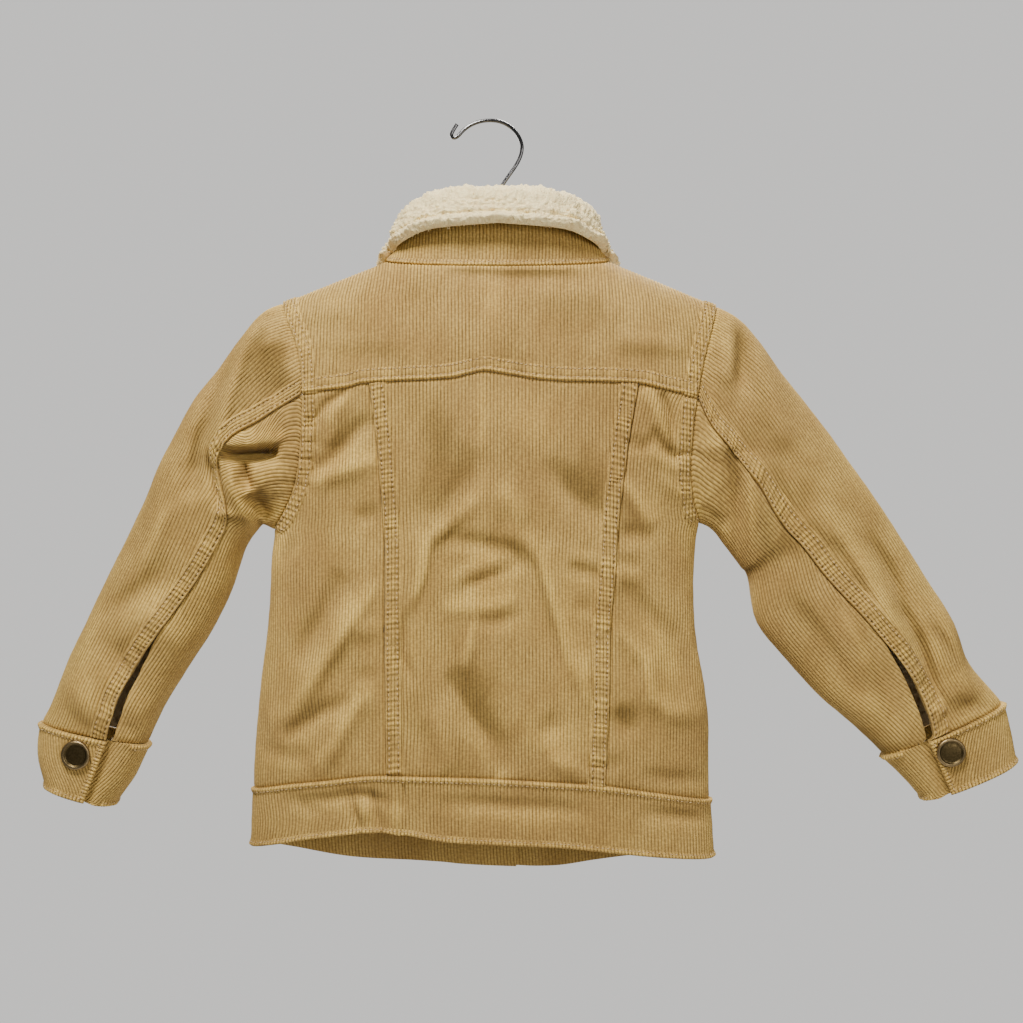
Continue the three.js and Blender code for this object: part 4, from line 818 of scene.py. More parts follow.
def bodyStrip(side, xs, zs, toward, width, step=None):
    # Lays out a strip of the body's cloth beside a line, towards a side: up or down (z), or to a hand (x).
    even, where = shareOut(bodyPoint(side, xs, zs, 0), step or seamTrim["step"])
    old = np.arange(len(xs))
    x, z = np.interp(where, old, xs), np.interp(where, old, zs)
    alongX, alongZ = np.gradient(x), np.gradient(z)
    size = np.hypot(alongX, alongZ)
    turnX, turnZ = -alongZ / size, alongX / size
    flip = np.sign(turnX * toward[0] + turnZ * toward[1])
    turnX, turnZ = turnX * flip, turnZ * flip
    steps = acrossSteps(width)
    rows, at, probe = [], 0, 0.3
    for d in steps:
        here = bodyPoint(side, x, z, 0)
        ahead = bodyPoint(side, x + turnX * probe, z + turnZ * probe, 0)
        stretch = np.maximum(np.linalg.norm(ahead - here, axis=-1) / probe, 1)
        x, z = x + turnX * (d - at) / stretch, z + turnZ * (d - at) / stretch
        at = d
        rows.append((x, z))
    x, z = np.array([r[0] for r in rows]), np.array([r[1] for r in rows])
    return bodyPoint(side, x, z, 0), bodyFacing(side, x, z), even, steps, x - neckX, -z


def layBand(name, outer, inner, uv, nap):
    # A closed strip: its face, its underside in one step, and a cap at each end.
    if np.dot(np.cross(outer[1, 1] - outer[1, 0], outer[2, 0] - outer[1, 0]), outer[1, 0] - inner[1, 0]) < 0:
        outer, inner, uv, nap = outer[:, ::-1], inner[:, ::-1], uv[:, ::-1], nap[:, ::-1]
    rows, columns = outer.shape[:2]
    ring = np.concatenate([outer, inner[-1:], inner[:1], outer[:1]])
    flat = np.concatenate([uv, uv[-1:], uv[:1], uv[:1]]).reshape(-1, 2) * mm
    deselectAll()
    bpy.ops.mesh.primitive_grid_add(x_subdivisions=columns - 1, y_subdivisions=rows + 2, size=1, calc_uvs=True)
    band = bpy.context.object
    band.name = band.data.name = name
    band.data.materials.append(bandFinish)
    mesh = band.data
    mesh.vertices.foreach_set("co", (ring * mm).ravel())
    corners = np.empty(len(mesh.loops), int)
    mesh.loops.foreach_get("vertex_index", corners)
    mesh.uv_layers.active.data.foreach_set("uv", flat[corners].ravel())
    # The point attribute holds the painted light and shade of the band's puckers and stitch dents.
    lie = mesh.attributes.new("nap", "FLOAT", "POINT")
    lie.data.foreach_set("value", np.concatenate([nap, nap[-1:], nap[:1], nap[:1]]).ravel())
    mesh.update()
    bpy.ops.object.mode_set(mode="EDIT")
    bpy.ops.mesh.select_all(action="SELECT")
    bpy.ops.mesh.remove_doubles(threshold=0.02 * mm)
    bpy.ops.mesh.select_mode(type="EDGE")
    bpy.ops.mesh.select_all(action="DESELECT")
    bpy.ops.mesh.select_non_manifold(extend=False)
    bpy.ops.mesh.fill_holes(sides=0)
    bpy.ops.mesh.select_mode(type="VERT")
    bpy.ops.object.mode_set(mode="OBJECT")
    bpy.ops.object.shade_smooth_by_angle(angle=math.radians(75))
    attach(band, "root")
    return band


def sewBand(name, strip, width, rows, seed, rope=0.0, lift=None, ribs=1.0, pucker=1.0):
    points, facing, s, d, u, v = strip
    random = np.random.default_rng(seed)
    s, d = s[None, :], d[:, None]
    lift = seamTrim["lift"] if lift is None else lift
    rise = np.clip(d / 0.9, 0, 1) ** 0.5
    fall = 1 - ease((d - width) / seamTrim["fade"])
    uneven = sum(np.sin(2 * math.pi * s / random.uniform(9, 40) + random.uniform(0, 6)) for _ in range(5)) / 5
    drift = sum(random.uniform(0.5, 1.4) * np.sin(2 * math.pi * s / random.uniform(20, 70) + random.uniform(0, 6)) for _ in range(4))
    gathered = 0.5 + 0.5 * np.cos(2 * math.pi * s / seamTrim["stitch"] + drift + 0.16 * d)
    creased = 0.5 + 0.5 * np.sin(2 * math.pi * (s + 0.4 * d) / 7.3 + 2.3 * drift)
    inner, outer = (0, width) if len(rows) < 2 else (rows[0] - 1.6, rows[-1] + 1.6)
    between = ease((d - inner) / 1.2) * ease((outer - d) / 1.2)
    bunched = (0.75 + 0.45 * uneven) * (gathered**1.3 - 0.45) + 0.5 * (creased - 0.5)
    high = lift * (1 + 0.3 * uneven) + seamTrim["pucker"] * pucker * bunched * between
    if rope:
        high = high + rope * np.exp(-(((d - 1.4) / 1.2) ** 2))
    for at in rows:
        high = high - seamTrim["dent"] * np.exp(-(((d - at) / 0.7) ** 2)) * (1.1 - 0.6 * gathered)
    relief = ribHeight(u, v, np.full_like(u, 9)) * ribs
    height = (high * rise + relief) * fall - 0.7 * (1 - rise) - 0.35 * (1 - fall)
    ends = 0.8 * (np.exp(-((s / 0.6) ** 2)) + np.exp(-(((s[0, -1] - s) / 0.6) ** 2)))
    outerFace = points + facing * (height - ends)[..., None]
    # The tops of the puckers are painted paler and the stitch dents darker, as painted light and shade, and the whole
    # band a little paler, a painted sheen.
    lie = np.clip(0.66 + 0.3 * (high - lift) / seamTrim["dent"] + 0.2 * uneven, 0.15, 1) * np.ones_like(height)
    band = layBand(name, outerFace, points - facing * 0.9, np.stack([u, v], axis=-1), lie)
    for at in rows:
        # One stitch on each little hill of the gathered cloth.
        wound = 2 * math.pi * s[0] / seamTrim["stitch"] + drift[0] + 0.16 * at
        hills = np.arange(math.ceil(wound[0] / (2 * math.pi)), math.floor(wound[-1] / (2 * math.pi)) + 1) * 2 * math.pi
        middles = np.interp(hills, wound, s[0])
        middles = middles[(middles > 1.5) & (middles < s[0, -1] - 1.5)]
        k = np.interp(middles, s[0], np.arange(s.shape[1]))
        j = int(np.argmin(np.abs(d[:, 0] - at)))
        low = np.minimum(k.astype(int), s.shape[1] - 2)
        share = (k - low)[:, None]
        spots = mix(outerFace[j, low], outerFace[j, low + 1], share)
        upward = unit(mix(facing[j, low], facing[j, low + 1], share))
        sewnStitches.append((spots, unit(outerFace[j, low + 1] - outerFace[j, low]), upward))
    return band


# Body panels.
crowded = np.sin(np.linspace(0, 1, 240) * math.pi / 2)  # closer together towards a panel's outer side


def shoulderOf(side):
    return lambda x: topEdge(side, x)[0]


yokeEdge = {
    "from": lambda z: panelSide(right, back, z),
    "to": lambda z: panelSide(left, back, z),
    "top": shoulderOf(back),
    "bottom": lambda x: yokeSeam(x) + inset,
    "shoulder": True,
    "armhole": {0: right, -1: left},
}
seamX = np.linspace(armholeX(right, back, np.array(-191.0)) + 0.6, armholeX(left, back, np.array(-188.5)) - 0.6, 900)
yokeBand = sewBand("yokeSeamBand", bodyStrip(back, seamX, yokeSeam(seamX) + 0.1, (0, 1), 8.6,
                   corduroy["pitch"] / 4), 8.6, (3.0, 8.0), 1, rope=0.75, lift=0.75, pucker=0.3)
armholeBands = {}
for hand, word in ((left, "left"), (right, "right")):
    top, bottom = bodyCut["shoulderTip"][hand][1], bodyCut["underarm"][hand]
    split = {left: -188.0, right: -190.6}[hand]
    for part, side, high, low in (("Yoke", back, top - 0.3, split + 0.6), ("Back", back, split - 0.4, bottom + 1.2),
                                  ("Front", front, top - 0.3, bottom + 1.2)):
        z = np.linspace(high, low, 400)
        strip = bodyStrip(side, armholeX(hand, side, z) - hand * 0.1, z, (-hand, 0), 9.4)
        armholeBands[hand, part] = sewBand(f"armholeBand{part}{word.title()}", strip, 9.4, (2.3, 7.9), 10 + hand + 3 * side,
                                           lift=0.85)
yokeRows = rowShares(74, 3.6)
yokeRows = np.unique(np.concatenate([yokeRows, [0.002, 0.006, 0.012, 0.022, 0.05]]))
yoke = bodyPanel("yokeCloth", "yoke_back", back, yokeEdge, yokeRows, np.linspace(0, 1, 330), neckX,
                 lined)

centreEdge = {
    "from": lambda z: longSeam[right](z) + inset,
    "to": lambda z: longSeam[left](z) - inset,
    "top": lambda x: yokeSeam(x) - inset,
    "bottom": lambda x: waistSeam[back](x) - underlap,
}
for hand, word, width in ((left, "left", 10.2), (right, "right", 11)):
    x0 = longSeam[hand](np.array(-200.0))
    z = np.linspace(yokeSeam(x0) - 0.4, waistSeam[back](x0) + 0.4, 800)
    strip = bodyStrip(back, longSeam[hand](z) - hand * 0.1, z, (-hand, 0), width)
    sewBand(f"longSeamBand{word.title()}", strip, width, (2.2, width - 1.8), 20 + hand, lift=0.9)
centre = bodyPanel("backCentreCloth", "back_centre", back, centreEdge, rowShares(266, corduroy["rowStep"]),
                   np.linspace(0, 1, 240), neckX, lined)

sides = {}
for hand, word in ((left, "left"), (right, "right")):
    seam = (lambda hand: lambda z: longSeam[hand](z) + hand * inset)(hand)
    outer = (lambda hand: lambda z: panelSide(hand, back, z))(hand)
    edge = {
        "from": seam if hand == left else outer,
        "to": outer if hand == left else seam,
        "top": lambda x: yokeSeam(x) - inset,
        "bottom": lambda x: waistSeam[back](x) - underlap,
        "armhole": {-1 if hand == left else 0: hand},
    }
    shares = crowded if hand == left else 1 - crowded[::-1]
    sides[hand] = bodyPanel(f"backSide{word.title()}Cloth", f"back_side_{word}", back, edge,
                            rowShares(266, corduroy["rowStep"]), shares, 90 * hand,
                            lined)

fronts = {}
for hand, word in ((left, "left"), (right, "right")):
    openEdge = closure["x"] - hand * closure["reach"]
    outer = (lambda hand: lambda z: panelSide(hand, front, z))(hand)
    inner = (lambda x: lambda z: x + 0 * z)(openEdge)
    edge = {
        "from": inner if hand == left else outer,
        "to": outer if hand == left else inner,
        "top": shoulderOf(front),
        "bottom": lambda x: waistSeam[front](x) - underlap,
        "shoulder": True,
        "armhole": {-1 if hand == left else 0: hand},
    }

    def lap(x, hand=hand):
        past = x - (closure["x"] - closure["reach"]) if hand == right else closure["x"] + closure["reach"] - x
        return -hand * closure["lift"] * ease((past + closure["ease"]) / closure["ease"])

    rows = rowShares(360, corduroy["rowStep"] * 2)
    rows = np.unique(np.concatenate([rows, [0.0005, 0.0012, 0.0025, 0.005, 0.01]]))
    shares = crowded if hand == left else 1 - crowded[::-1]
    trims = [armholeBands[hand, "Front"]]
    if hand == right:
        z = np.linspace(-176, float(waistSeam[front](np.array(openEdge))) + 0.6, 700)
        for band, x, width, row in (("frontEdgeBand", openEdge - 0.2, 4, 3.0), ("placketBand", -15.0, 3, 1.5)):
            strip = bodyStrip(front, x + 0 * z, z, (-1, 0), width)
            strip = (strip[0] + strip[1] * lap(strip[0][..., 0])[..., None], *strip[1:])
            trims.append(sewBand(band, strip, width, (row,), 45, lift=0.5, pucker=0.3))
    fronts[hand] = bodyPanel(f"front{word.title()}Cloth", f"front_{word}", front, edge, rows, shares, closure["x"],
                             lined, shift=lap)
print("body panels sewn")


# Waistband: one folded strip from the upper front edge round the back to the lower one.
def waistPoints(turns, downs, raise_=0.0):
    turn, down = np.meshgrid(turns, downs)
    sections = bodyCut["sections"]
    z = np.full(turn.shape, -470.0)
    kind = np.clip(np.ceil(turn).astype(int) - 1, 0, 2)
    t = turn - kind
    for _ in range(5):
        far, near = sections["left"](z), sections["right"](z)
        fromRight = mix(closure["x"] + closure["reach"], near, np.sin(math.pi / 2 * t))
        round_ = mix((far + near) / 2, far, -np.cos(math.pi * t))
        toLeft = mix(far, closure["x"] - closure["reach"], 1 - np.cos(math.pi / 2 * t))
        x = np.select([kind == 0, kind == 1], [fromRight, round_], toLeft)
        top = np.where(kind == 1, waistSeam[back](x), waistSeam[front](x)) - inset - 0.4
        hem = np.where(kind == 1, hemLine[back](x), hemLine[front](x))
        z = mix(top, hem, down)
    onBack = (kind == 1)[..., None]
    points = np.where(onBack, bodyPoint(back, x, z, 0), bodyPoint(front, x, z, 0))
    facing = np.where(onBack, bodyFacing(back, x, z), bodyFacing(front, x, z))
    atSide = np.abs(points[..., 1]) < 1
    facing[atSide] = stack(np.sign(x[atSide]), 0, 0)
    past = np.where(kind == 0, x - (closure["x"] - closure["reach"]), closure["x"] + closure["reach"] - x)
    lap = closure["lift"] * 1.2 * ease((past + closure["ease"]) / closure["ease"])
    lap = np.select([kind == 0, kind == 1], [lap, 0 * lap], -lap)
    return points + facing * lap[..., None], facing, x


waistTurns = np.concatenate([np.linspace(0, 1, 220)[:-1], np.linspace(1, 2, 420)[:-1], np.linspace(2, 3, 220)])
points, facing, _ = waistPoints(waistTurns, rowShares(43, 3.2))
upright = np.array([[[0, 0, -1.0]]])


def ribbon(points, facing, u, v, step=None):
    # A strip from rows of points already laid across it; the first row runs along the seam.
    even, where = shareOut(points[0], step or seamTrim["step"])
    low = np.minimum(where.astype(int), points.shape[1] - 2)
    share = where - low
    pick = lambda a: mix(a[:, low], a[:, low + 1], share[None, :, None] if a.ndim == 3 else share[None, :])
    return pick(points), unit(pick(facing)), even, pick(u), pick(v)


def waistStrip(width, fromTop):
    d = acrossSteps(width, 0.9)
    high, turned, _ = waistPoints(np.linspace(0.004, 2.996, 2600), (0.2 + d) / 43 if fromTop else 1 - (0.1 + d) / 43)
    u = np.broadcast_to(np.concatenate([[0], np.cumsum(np.linalg.norm(np.diff(high[0], axis=0), axis=1))]), high.shape[:2])
    v = np.broadcast_to(d[:, None], high.shape[:2])
    high, turned, even, u, v = ribbon(high, turned, u, v, corduroy["pitch"] / 4)
    return high + turned * 0.8, turned, even, d, u, v


waistBands = [
    sewBand("waistSeamBand", waistStrip(3.6, True), 3.6, (3.1,), 31, rope=0.6, lift=0.6, pucker=0.2, ribs=1.3),
    sewBand("hemBand", waistStrip(3.4, False), 3.4, (3.0,), 32, rope=0.5, lift=0.5, pucker=0.2, ribs=1.4),
]
waist = sewPiece("waistbandCloth", "waistband", points, facing, upright, 429, unlined,
                 sunk=-0.8, thickness=2.4, dips="tlr")

# Sleeves: sections that fan out round the underarm, cut by a back seam and a front one.
sleeveColumns = "n outX outZ inX inZ back front seam"
sleeveCut = {
    left: curves(sleeveColumns, [
        (0, 140.5, -123.4, 145.5, -277.5, 31, 31, 0.41), (1, 155, -130.6, 149, -275.5, 32, 31, 0.45),
        (2, 170, -149, 152, -274, 33, 32, 0.47), (3, 183.6, -168.6, 154.5, -273.5, 33, 32, 0.46),
        (4, 199.9, -189, 157, -275.5, 33, 32, 0.5), (5, 212.2, -211.5, 160, -279.5, 32, 32, 0.74),
        (6, 223, -232, 163.5, -284, 32, 32, 0.82), (7, 233.2, -257, 168, -293, 32, 32, 0.82),
        (8, 246.1, -284.2, 176.1, -318.2, 31, 31, 0.76), (9, 259.7, -311.4, 189, -344.8, 30, 30, 0.7),
        (10, 272.6, -338.6, 206, -371.3, 29, 29, 0.66), (11, 285.6, -365.8, 221.7, -397, 28, 28, 0.66),
        (12, 295.5, -392, 231.5, -418, 26, 26, 0.69), (13, 303, -406.5, 232.5, -421.6, 25, 25, 0.7),
    ]),
    right: curves(sleeveColumns, [
        (0, -153.4, -125.4, -141.4, -272, 31, 31, 0.43), (1, -168.6, -134, -146, -273.5, 31, 30, 0.54),
        (2, -181.6, -148.3, -150, -276, 30, 29, 0.59), (3, -195.2, -168, -154.5, -280.5, 29, 28, 0.62),
        (4, -210.8, -187.7, -159.5, -287.5, 28, 27, 0.62), (5, -227.8, -209.4, -165.2, -295, 27, 26, 0.64),
        (6, -244.8, -233.2, -170.7, -302.6, 26, 25, 0.64), (7, -261.8, -257, -175.5, -309.5, 25, 24, 0.62),
        (8, -279.5, -284.2, -181.6, -340, 25, 24, 0.53), (9, -296.5, -311.4, -202.6, -366.5, 25, 24, 0.49),
        (10, -313.5, -338.6, -224.4, -390.3, 25, 24, 0.48), (11, -323.7, -365.8, -247.5, -410, 24, 24, 0.5),
        (12, -341.4, -387.6, -265.2, -427, 22, 22, 0.62), (13, -347, -394, -266.5, -429.5, 21.5, 21.5, 0.68),
    ]),
}
cuffCut = {
    left: curves(sleeveColumns, [
        (0, 303, -406.5, 232.5, -421.6, 25, 25, 0.7), (1, 304.5, -428, 243, -444, 24, 24, 0.69),
        (2, 299, -450, 256.5, -463, 23, 23, 0.68),
    ]),
    right: curves(sleeveColumns, [
        (0, -347, -394, -266.5, -429.5, 21.5, 21.5, 0.68), (1, -351.5, -413, -281.5, -444, 20.5, 20.5, 0.73),
        (2, -355.5, -434.5, -295.5, -459.5, 19.5, 19.5, 0.78),
    ]),
}
sleeveShape = {"round": 2.3, "blend": 3.2, "frontSeam": 0.78, "ventFrom": 9.6, "ventGap": 4.6, "end": 12.99}
sleeveCreases = {
    (left, back): [
        ([(175, -227), (162, -226), (139, -224.5)], (5, 1.9), -20, 1.4),
        ([(182, -221.5), (160, -220.5), (136, -218)], (2.4, 8), 4.5, 1.4),
        ([(163, -231), (161.5, -241), (159, -251)], (3, 3), -11, 1.6),
        ([(158.5, -253), (153, -262), (149, -270)], (4, 6), -15, 1.8),
        ([(150, -232), (150, -246), (147, -256)], 9, 4, 1.6),
        ([(172, -231), (168, -250), (162, -266), (155, -284)], (5, 4), 7, 1.3),
        ([(184, -266), (170, -267.5), (154, -267.5)], (2, 7), 3.4, 1.3),
        ([(186, -228), (181, -245), (176, -266)], (3, 2.6), -6, 1.6),
        ([(157, -137), (164, -160), (172, -190), (178, -220), (180, -236)], (15, 4), 8, 1.15),
        ([(168, -146), (182, -186), (192, -220), (200, -256)], (6, 9), -6, 1.7),
        ([(151, -158), (146, -178), (141, -196)], (5, 8), -4.5, 1.7),
        ([(150, -134), (147, -150), (149, -170)], 4.5, 3, 1.8),
        ([(208, -300), (233.3, -320.5), (262, -336)], 9, -3.2, 1.8),
        ([(236, -322), (214.4, -345.4), (190, -366)], 8, 3, 1.6),
        ([(262, -344), (241.6, -366.2), (226, -392)], 8, -3.6, 1.8),
        ([(278, -372), (266, -392), (248, -412)], 7, 3, 1.6),
        ([(226, -250), (234.1, -275.7), (246, -300)], 6, -2.2, 1.8),
        ([(214, -262), (221.2, -283.8), (232, -304)], 5, 2, 1.8),
        ([(270, -330), (279.1, -357.8), (292, -384)], 5, -2, 1.8),
        ([(240, -346), (228.6, -363.3), (214, -378)], 4, -1.8, 1.8),
        ([(286, -380), (262, -404)], 3.5, 2, 1.8),
        ([(250, -398), (236, -414)], 4, -2.6, 1.8),
    ],
    (left, front): [
        ([(176, -160), (193.9, -209.9), (204, -262)], 10, -4.5, 1.8),
        ([(186, -228), (140, -222)], 6, -6.5, 1.8),
        ([(232, -296), (196, -330)], 8, 3.1, 1.8),
        ([(262, -344), (241.6, -366.2), (226, -392)], 8, -2.9, 1.8),
        ([(240, -280), (249.1, -310.7), (262, -340)], 5, 1.3, 1.8),
    ],
    (right, back): [
        ([(-170, -134), (-168, -150), (-166.5, -168), (-164.5, -186)], (3.2, 8), -8, 1.4),
        ([(-158, -146), (-159, -166), (-158, -182)], 5, 3, 1.8),
        ([(-184, -144), (-187, -180), (-196, -222)], 9, 3.6, 1.8),
        ([(-160, -222), (-163, -241), (-165, -270), (-164.5, -300)], (22, 2.6), -8, 1.05),
        ([(-170, -226), (-174, -262), (-176, -306)], (5, 8), 5.5, 1.5),
        ([(-150, -206), (-154, -240), (-156, -268)], 8, 3, 1.8),
        ([(-141, -262), (-150, -268), (-158, -276)], 3.4, -3.4, 1.6),
        ([(-252, -280), (-269.6, -308.3), (-280, -340)], 7, -5.5, 1.7),
        ([(-274, -326), (-287, -352), (-296, -378), (-300, -396)], (6.5, 5), -8, 1.6),
        ([(-240, -292), (-258, -322), (-272, -350), (-286, -380)], 7, 5.5, 1.6),
        ([(-300, -322), (-310, -350), (-318, -388)], 7, 4.6, 1.7),
        ([(-214, -262), (-236.2, -285.6), (-252, -314)], 10, 3, 1.8),
        ([(-198, -300), (-222.5, -340.7), (-252, -378)], 11, 3.4, 1.8),
        ([(-206, -322), (-232, -362), (-250, -392)], 9, -3.4, 1.8),
        ([(-246, -346), (-261.8, -379.2), (-274, -414)], 8, -4, 1.8),
        ([(-318, -362), (-330, -376), (-344, -386)], 4, -4, 1.6),
        ([(-306, -392), (-318, -382), (-334, -372)], 4, 3.2, 1.6),
        ([(-300, -404), (-316, -396), (-334, -394)], 3, -3, 1.6),
        ([(-190, -236), (-197, -267.7), (-200, -300)], 6, -2.2, 1.8),
        ([(-226, -280), (-242.7, -304), (-256, -330)], 5, -2.2, 1.8),
        ([(-296, -340), (-308.8, -359), (-318, -380)], 3.5, -2.6, 1.8),
        ([(-232, -330), (-248.8, -358.1), (-262, -388)], 4, 2.2, 1.8),
    ],
    (right, front): [
        ([(-172, -146), (-179, -188.8), (-182, -232)], 8, -4.4, 1.8),
        ([(-164, -236), (-167.5, -267.9), (-169, -300)], 8, -5.2, 1.8),
        ([(-246, -300), (-268.6, -334.5), (-286, -372)], 9, 3.4, 1.8),
        ([(-220, -272), (-244.2, -298.7), (-262, -330)], 10, -3.1, 1.8),
        ([(-270, -330), (-286.7, -356), (-300, -384)], 5, -1.3, 1.8),
    ],
}


def angleAt(share):
    across = 1 - 2 * np.asarray(share, float)
    return np.arccos(np.sign(across) * np.abs(across) ** (sleeveShape["round"] / 2))


def sectionPoint(cut, n, angle):
    power = 2 / sleeveShape["round"]
    share = (1 - np.sign(np.cos(angle)) * np.abs(np.cos(angle)) ** power) / 2
    deep = np.where(np.sin(angle) >= 0, cut["back"](n), cut["front"](n))
    y = np.sign(np.sin(angle)) * np.abs(np.sin(angle)) ** power * deep
    return stack(mix(cut["outX"](n), cut["inX"](n), share), y, mix(cut["outZ"](n), cut["inZ"](n), share))


def armholePoint(hand, angle):
    power = 2 / sleeveShape["round"]
    share = (1 - np.sign(np.cos(angle)) * np.abs(np.cos(angle)) ** power) / 2
    z = mix(bodyCut["shoulderTip"][hand][1], bodyCut["underarm"][hand], share)
    onBack = (np.sin(angle) >= 0)[..., None]
    spots = []
    for side in (back, front):
        x = armholeX(hand, side, z)
        spots.append(bodyPoint(side, x, z, 0) - np.array([hand * 0.25, 0, 0]))
    return np.where(onBack, spots[0], spots[1])


def sleevePoint(hand, n, angle):
    n, angle = np.broadcast_arrays(np.asarray(n, float), np.asarray(angle, float))
    cut = sleeveCut[hand]
    points = sectionPoint(cut, n, angle)
    turn = armholePoint(hand, angle) - sectionPoint(cut, 0 * n, angle)
    points = points + turn * (1 - ease(n / sleeveShape["blend"]))[..., None]
    keep = ease(n / 0.8) * np.abs(np.sin(angle)) ** 0.8
    onBack = np.sin(angle) >= 0
    x, z = points[..., 0], points[..., 2]
    crease = np.where(onBack, creaseHeight(sleeveCreases[hand, back], x, z), -creaseHeight(sleeveCreases[hand, front], x, z))
    crease = crease + np.where(onBack, 1, -1) * rumple(x, z, 34, 0.45, 20 + hand)
    points[..., 1] += keep * crease
    return points


def sleeveFacing(hand, n, angle):
    n, angle = np.broadcast_arrays(np.asarray(n, float), np.asarray(angle, float))
    n = np.clip(n, 0.05, 12.95)
    along = sleevePoint(hand, n + 0.02, angle) - sleevePoint(hand, n - 0.02, angle)
    across = sleevePoint(hand, n, angle + 0.01) - sleevePoint(hand, n, angle - 0.01)
    facing = unit(np.cross(along, across))
    cut = sleeveCut[hand]
    middle = (sectionPoint(cut, n, 0 * angle) + sectionPoint(cut, n, 0 * angle + math.pi)) / 2
    outward = ((sleevePoint(hand, n, angle) - middle) * facing).sum(-1)
    return facing if np.median(outward) > 0 else -facing


def sleeveSeams(hand, n, apart):
    cut = sleeveCut[hand]
    width = np.hypot(cut["outX"](n) - cut["inX"](n), cut["outZ"](n) - cut["inZ"](n))
    t = np.clip((n - sleeveShape["ventFrom"]) / (sleeveShape["end"] + 0.4 - sleeveShape["ventFrom"]), 0, 1)
    gape = sleeveShape["ventGap"] * np.sin(math.pi * t) ** 0.6
    share = cut["seam"](n) + apart * (inset + gape * (0.85 if apart > 0 else 0.15)) / width
    return angleAt(share), -angleAt(sleeveShape["frontSeam"] + apart * inset / width)


sleeveRows = np.concatenate([[0, 0.02, 0.05, 0.1, 0.18], np.linspace(0.3, 12.7, 62), [12.8, 12.88, 12.94, 12.99]])
sleeveTrim = {left: 10.5, right: 12}  # how wide the felled back seam is
for hand, word in ((left, "left"), (right, "right")):
    for piece, apart in (("upper", -1), ("under", 1)):
        n = sleeveRows[:, None]
        seamBack, seamFront = sleeveSeams(hand, n, apart)
        if piece == "under":
            seamFront = seamFront + 2 * math.pi
        angle = mix(seamBack, seamFront, np.linspace(0, 1, 220)[None, :])
        n = np.broadcast_to(n, angle.shape)
        points, facing = sleevePoint(hand, n, angle), sleeveFacing(hand, n, angle)
        atArmhole = np.where((np.sin(angle) >= 0)[..., None], armholeFacing(hand, back, points[..., 2]),
                             armholeFacing(hand, front, points[..., 2]))
        facing = unit(mix(atArmhole, facing, ease(n / 0.5)[..., None]))
        ends = ("outX", "outZ") if piece == "upper" else ("inX", "inZ")
        cut = sleeveCut[hand]
        low, high = np.maximum(sleeveRows - 1.3, 0), np.minimum(sleeveRows + 1.3, 13)
        grain = unit(stack(*(cut[ends[0]](high) - cut[ends[0]](low), 0 * low, cut[ends[1]](high) - cut[ends[1]](low))))
        if (hand, piece) == (right, "under"):
            # It was cut with its ribs along the whole arm.
            grain = unit(mix(np.array([-0.62, 0, -0.78]), grain, ease((sleeveRows - 8) / 3)[:, None]))
        middle = 0 if piece == "upper" else math.pi
        reference = [np.interp(-middle if piece == "upper" else middle, row if row[0] < row[-1] else -row,
                               np.arange(len(row))) for row in angle]
        trims = []
        if piece == "upper":
            width = sleeveTrim[hand]
            along = np.linspace(0.12, 12.96, 1400)
            d = acrossSteps(width)
            turn, at, spots = sleeveSeams(hand, along, -1)[0], -0.05, []
            for reach in d:
                here, ahead = sleevePoint(hand, along, turn), sleevePoint(hand, along, turn - 0.01)
                turn = turn - (reach - at) * 0.01 / np.linalg.norm(ahead - here, axis=-1)
                at = reach
                spots.append(turn)
            strip, up = sleevePoint(hand, along, np.array(spots)), sleeveFacing(hand, along, np.array(spots))
            run = np.concatenate([[0], np.cumsum(np.linalg.norm(np.diff(strip[0], axis=0), axis=1))])
            u, v = np.broadcast_to(d[:, None], strip.shape[:2]), np.broadcast_to(run, strip.shape[:2])
            strip, up, even, u, v = ribbon(strip - up * 0.25, up, u, v)
            trims = [sewBand(f"sleeveSeamBand{word.title()}", (strip, up, even, d, u, v), width, (2.2, width - 1.8),
                             40 + hand, lift=0.95)]
        sewPiece(f"sleeve{piece.title()}{word.title()}Cloth", f"sleeve_{piece}_{word}", points,
                                        facing, grain[:, None, :], reference, lined, sunk=0.35,
                                        slanted=(hand, piece) == (right, "under"))
print("sleeves sewn")

# Cuffs: a folded strip whose upper end laps over its lower end at the button.
cuffEdge = {"lap": 0.62, "tuckFrom": 0.35, "tuck": 4.4, "lift": 1, "perTurn": 23, "width": 3.6}


def cuffPoint(hand, n, turned):
    # By the share down the cuff, 0 to 2, and the angle round it from the end that shows.
    cut = cuffCut[hand]
    n, turned = np.broadcast_arrays(np.asarray(n, float), np.asarray(turned, float))
    place = lambda at, aside=0: sectionPoint(cut, at, angleAt(cut["seam"](at)) - turned + aside)
    points = place(n)
    along = place(np.minimum(n + 0.02, 2)) - place(np.maximum(n - 0.02, 0))
    across = place(n, 0.01) - place(n, -0.01)
    facing = unit(np.cross(along, across))
    middle = (sectionPoint(cut, n, 0 * turned) + sectionPoint(cut, n, 0 * turned + math.pi)) / 2
    if np.median(((points - middle) * facing).sum(-1)) < 0:
        facing = -facing
    tucked = cuffEdge["tuck"] * ease((turned - (2 * math.pi - cuffEdge["tuckFrom"])) / cuffEdge["tuckFrom"])
    perAngle = np.linalg.norm(across, axis=-1) / 0.02
    return points + facing * (cuffEdge["lift"] - tucked)[..., None], facing, unit(along), perAngle


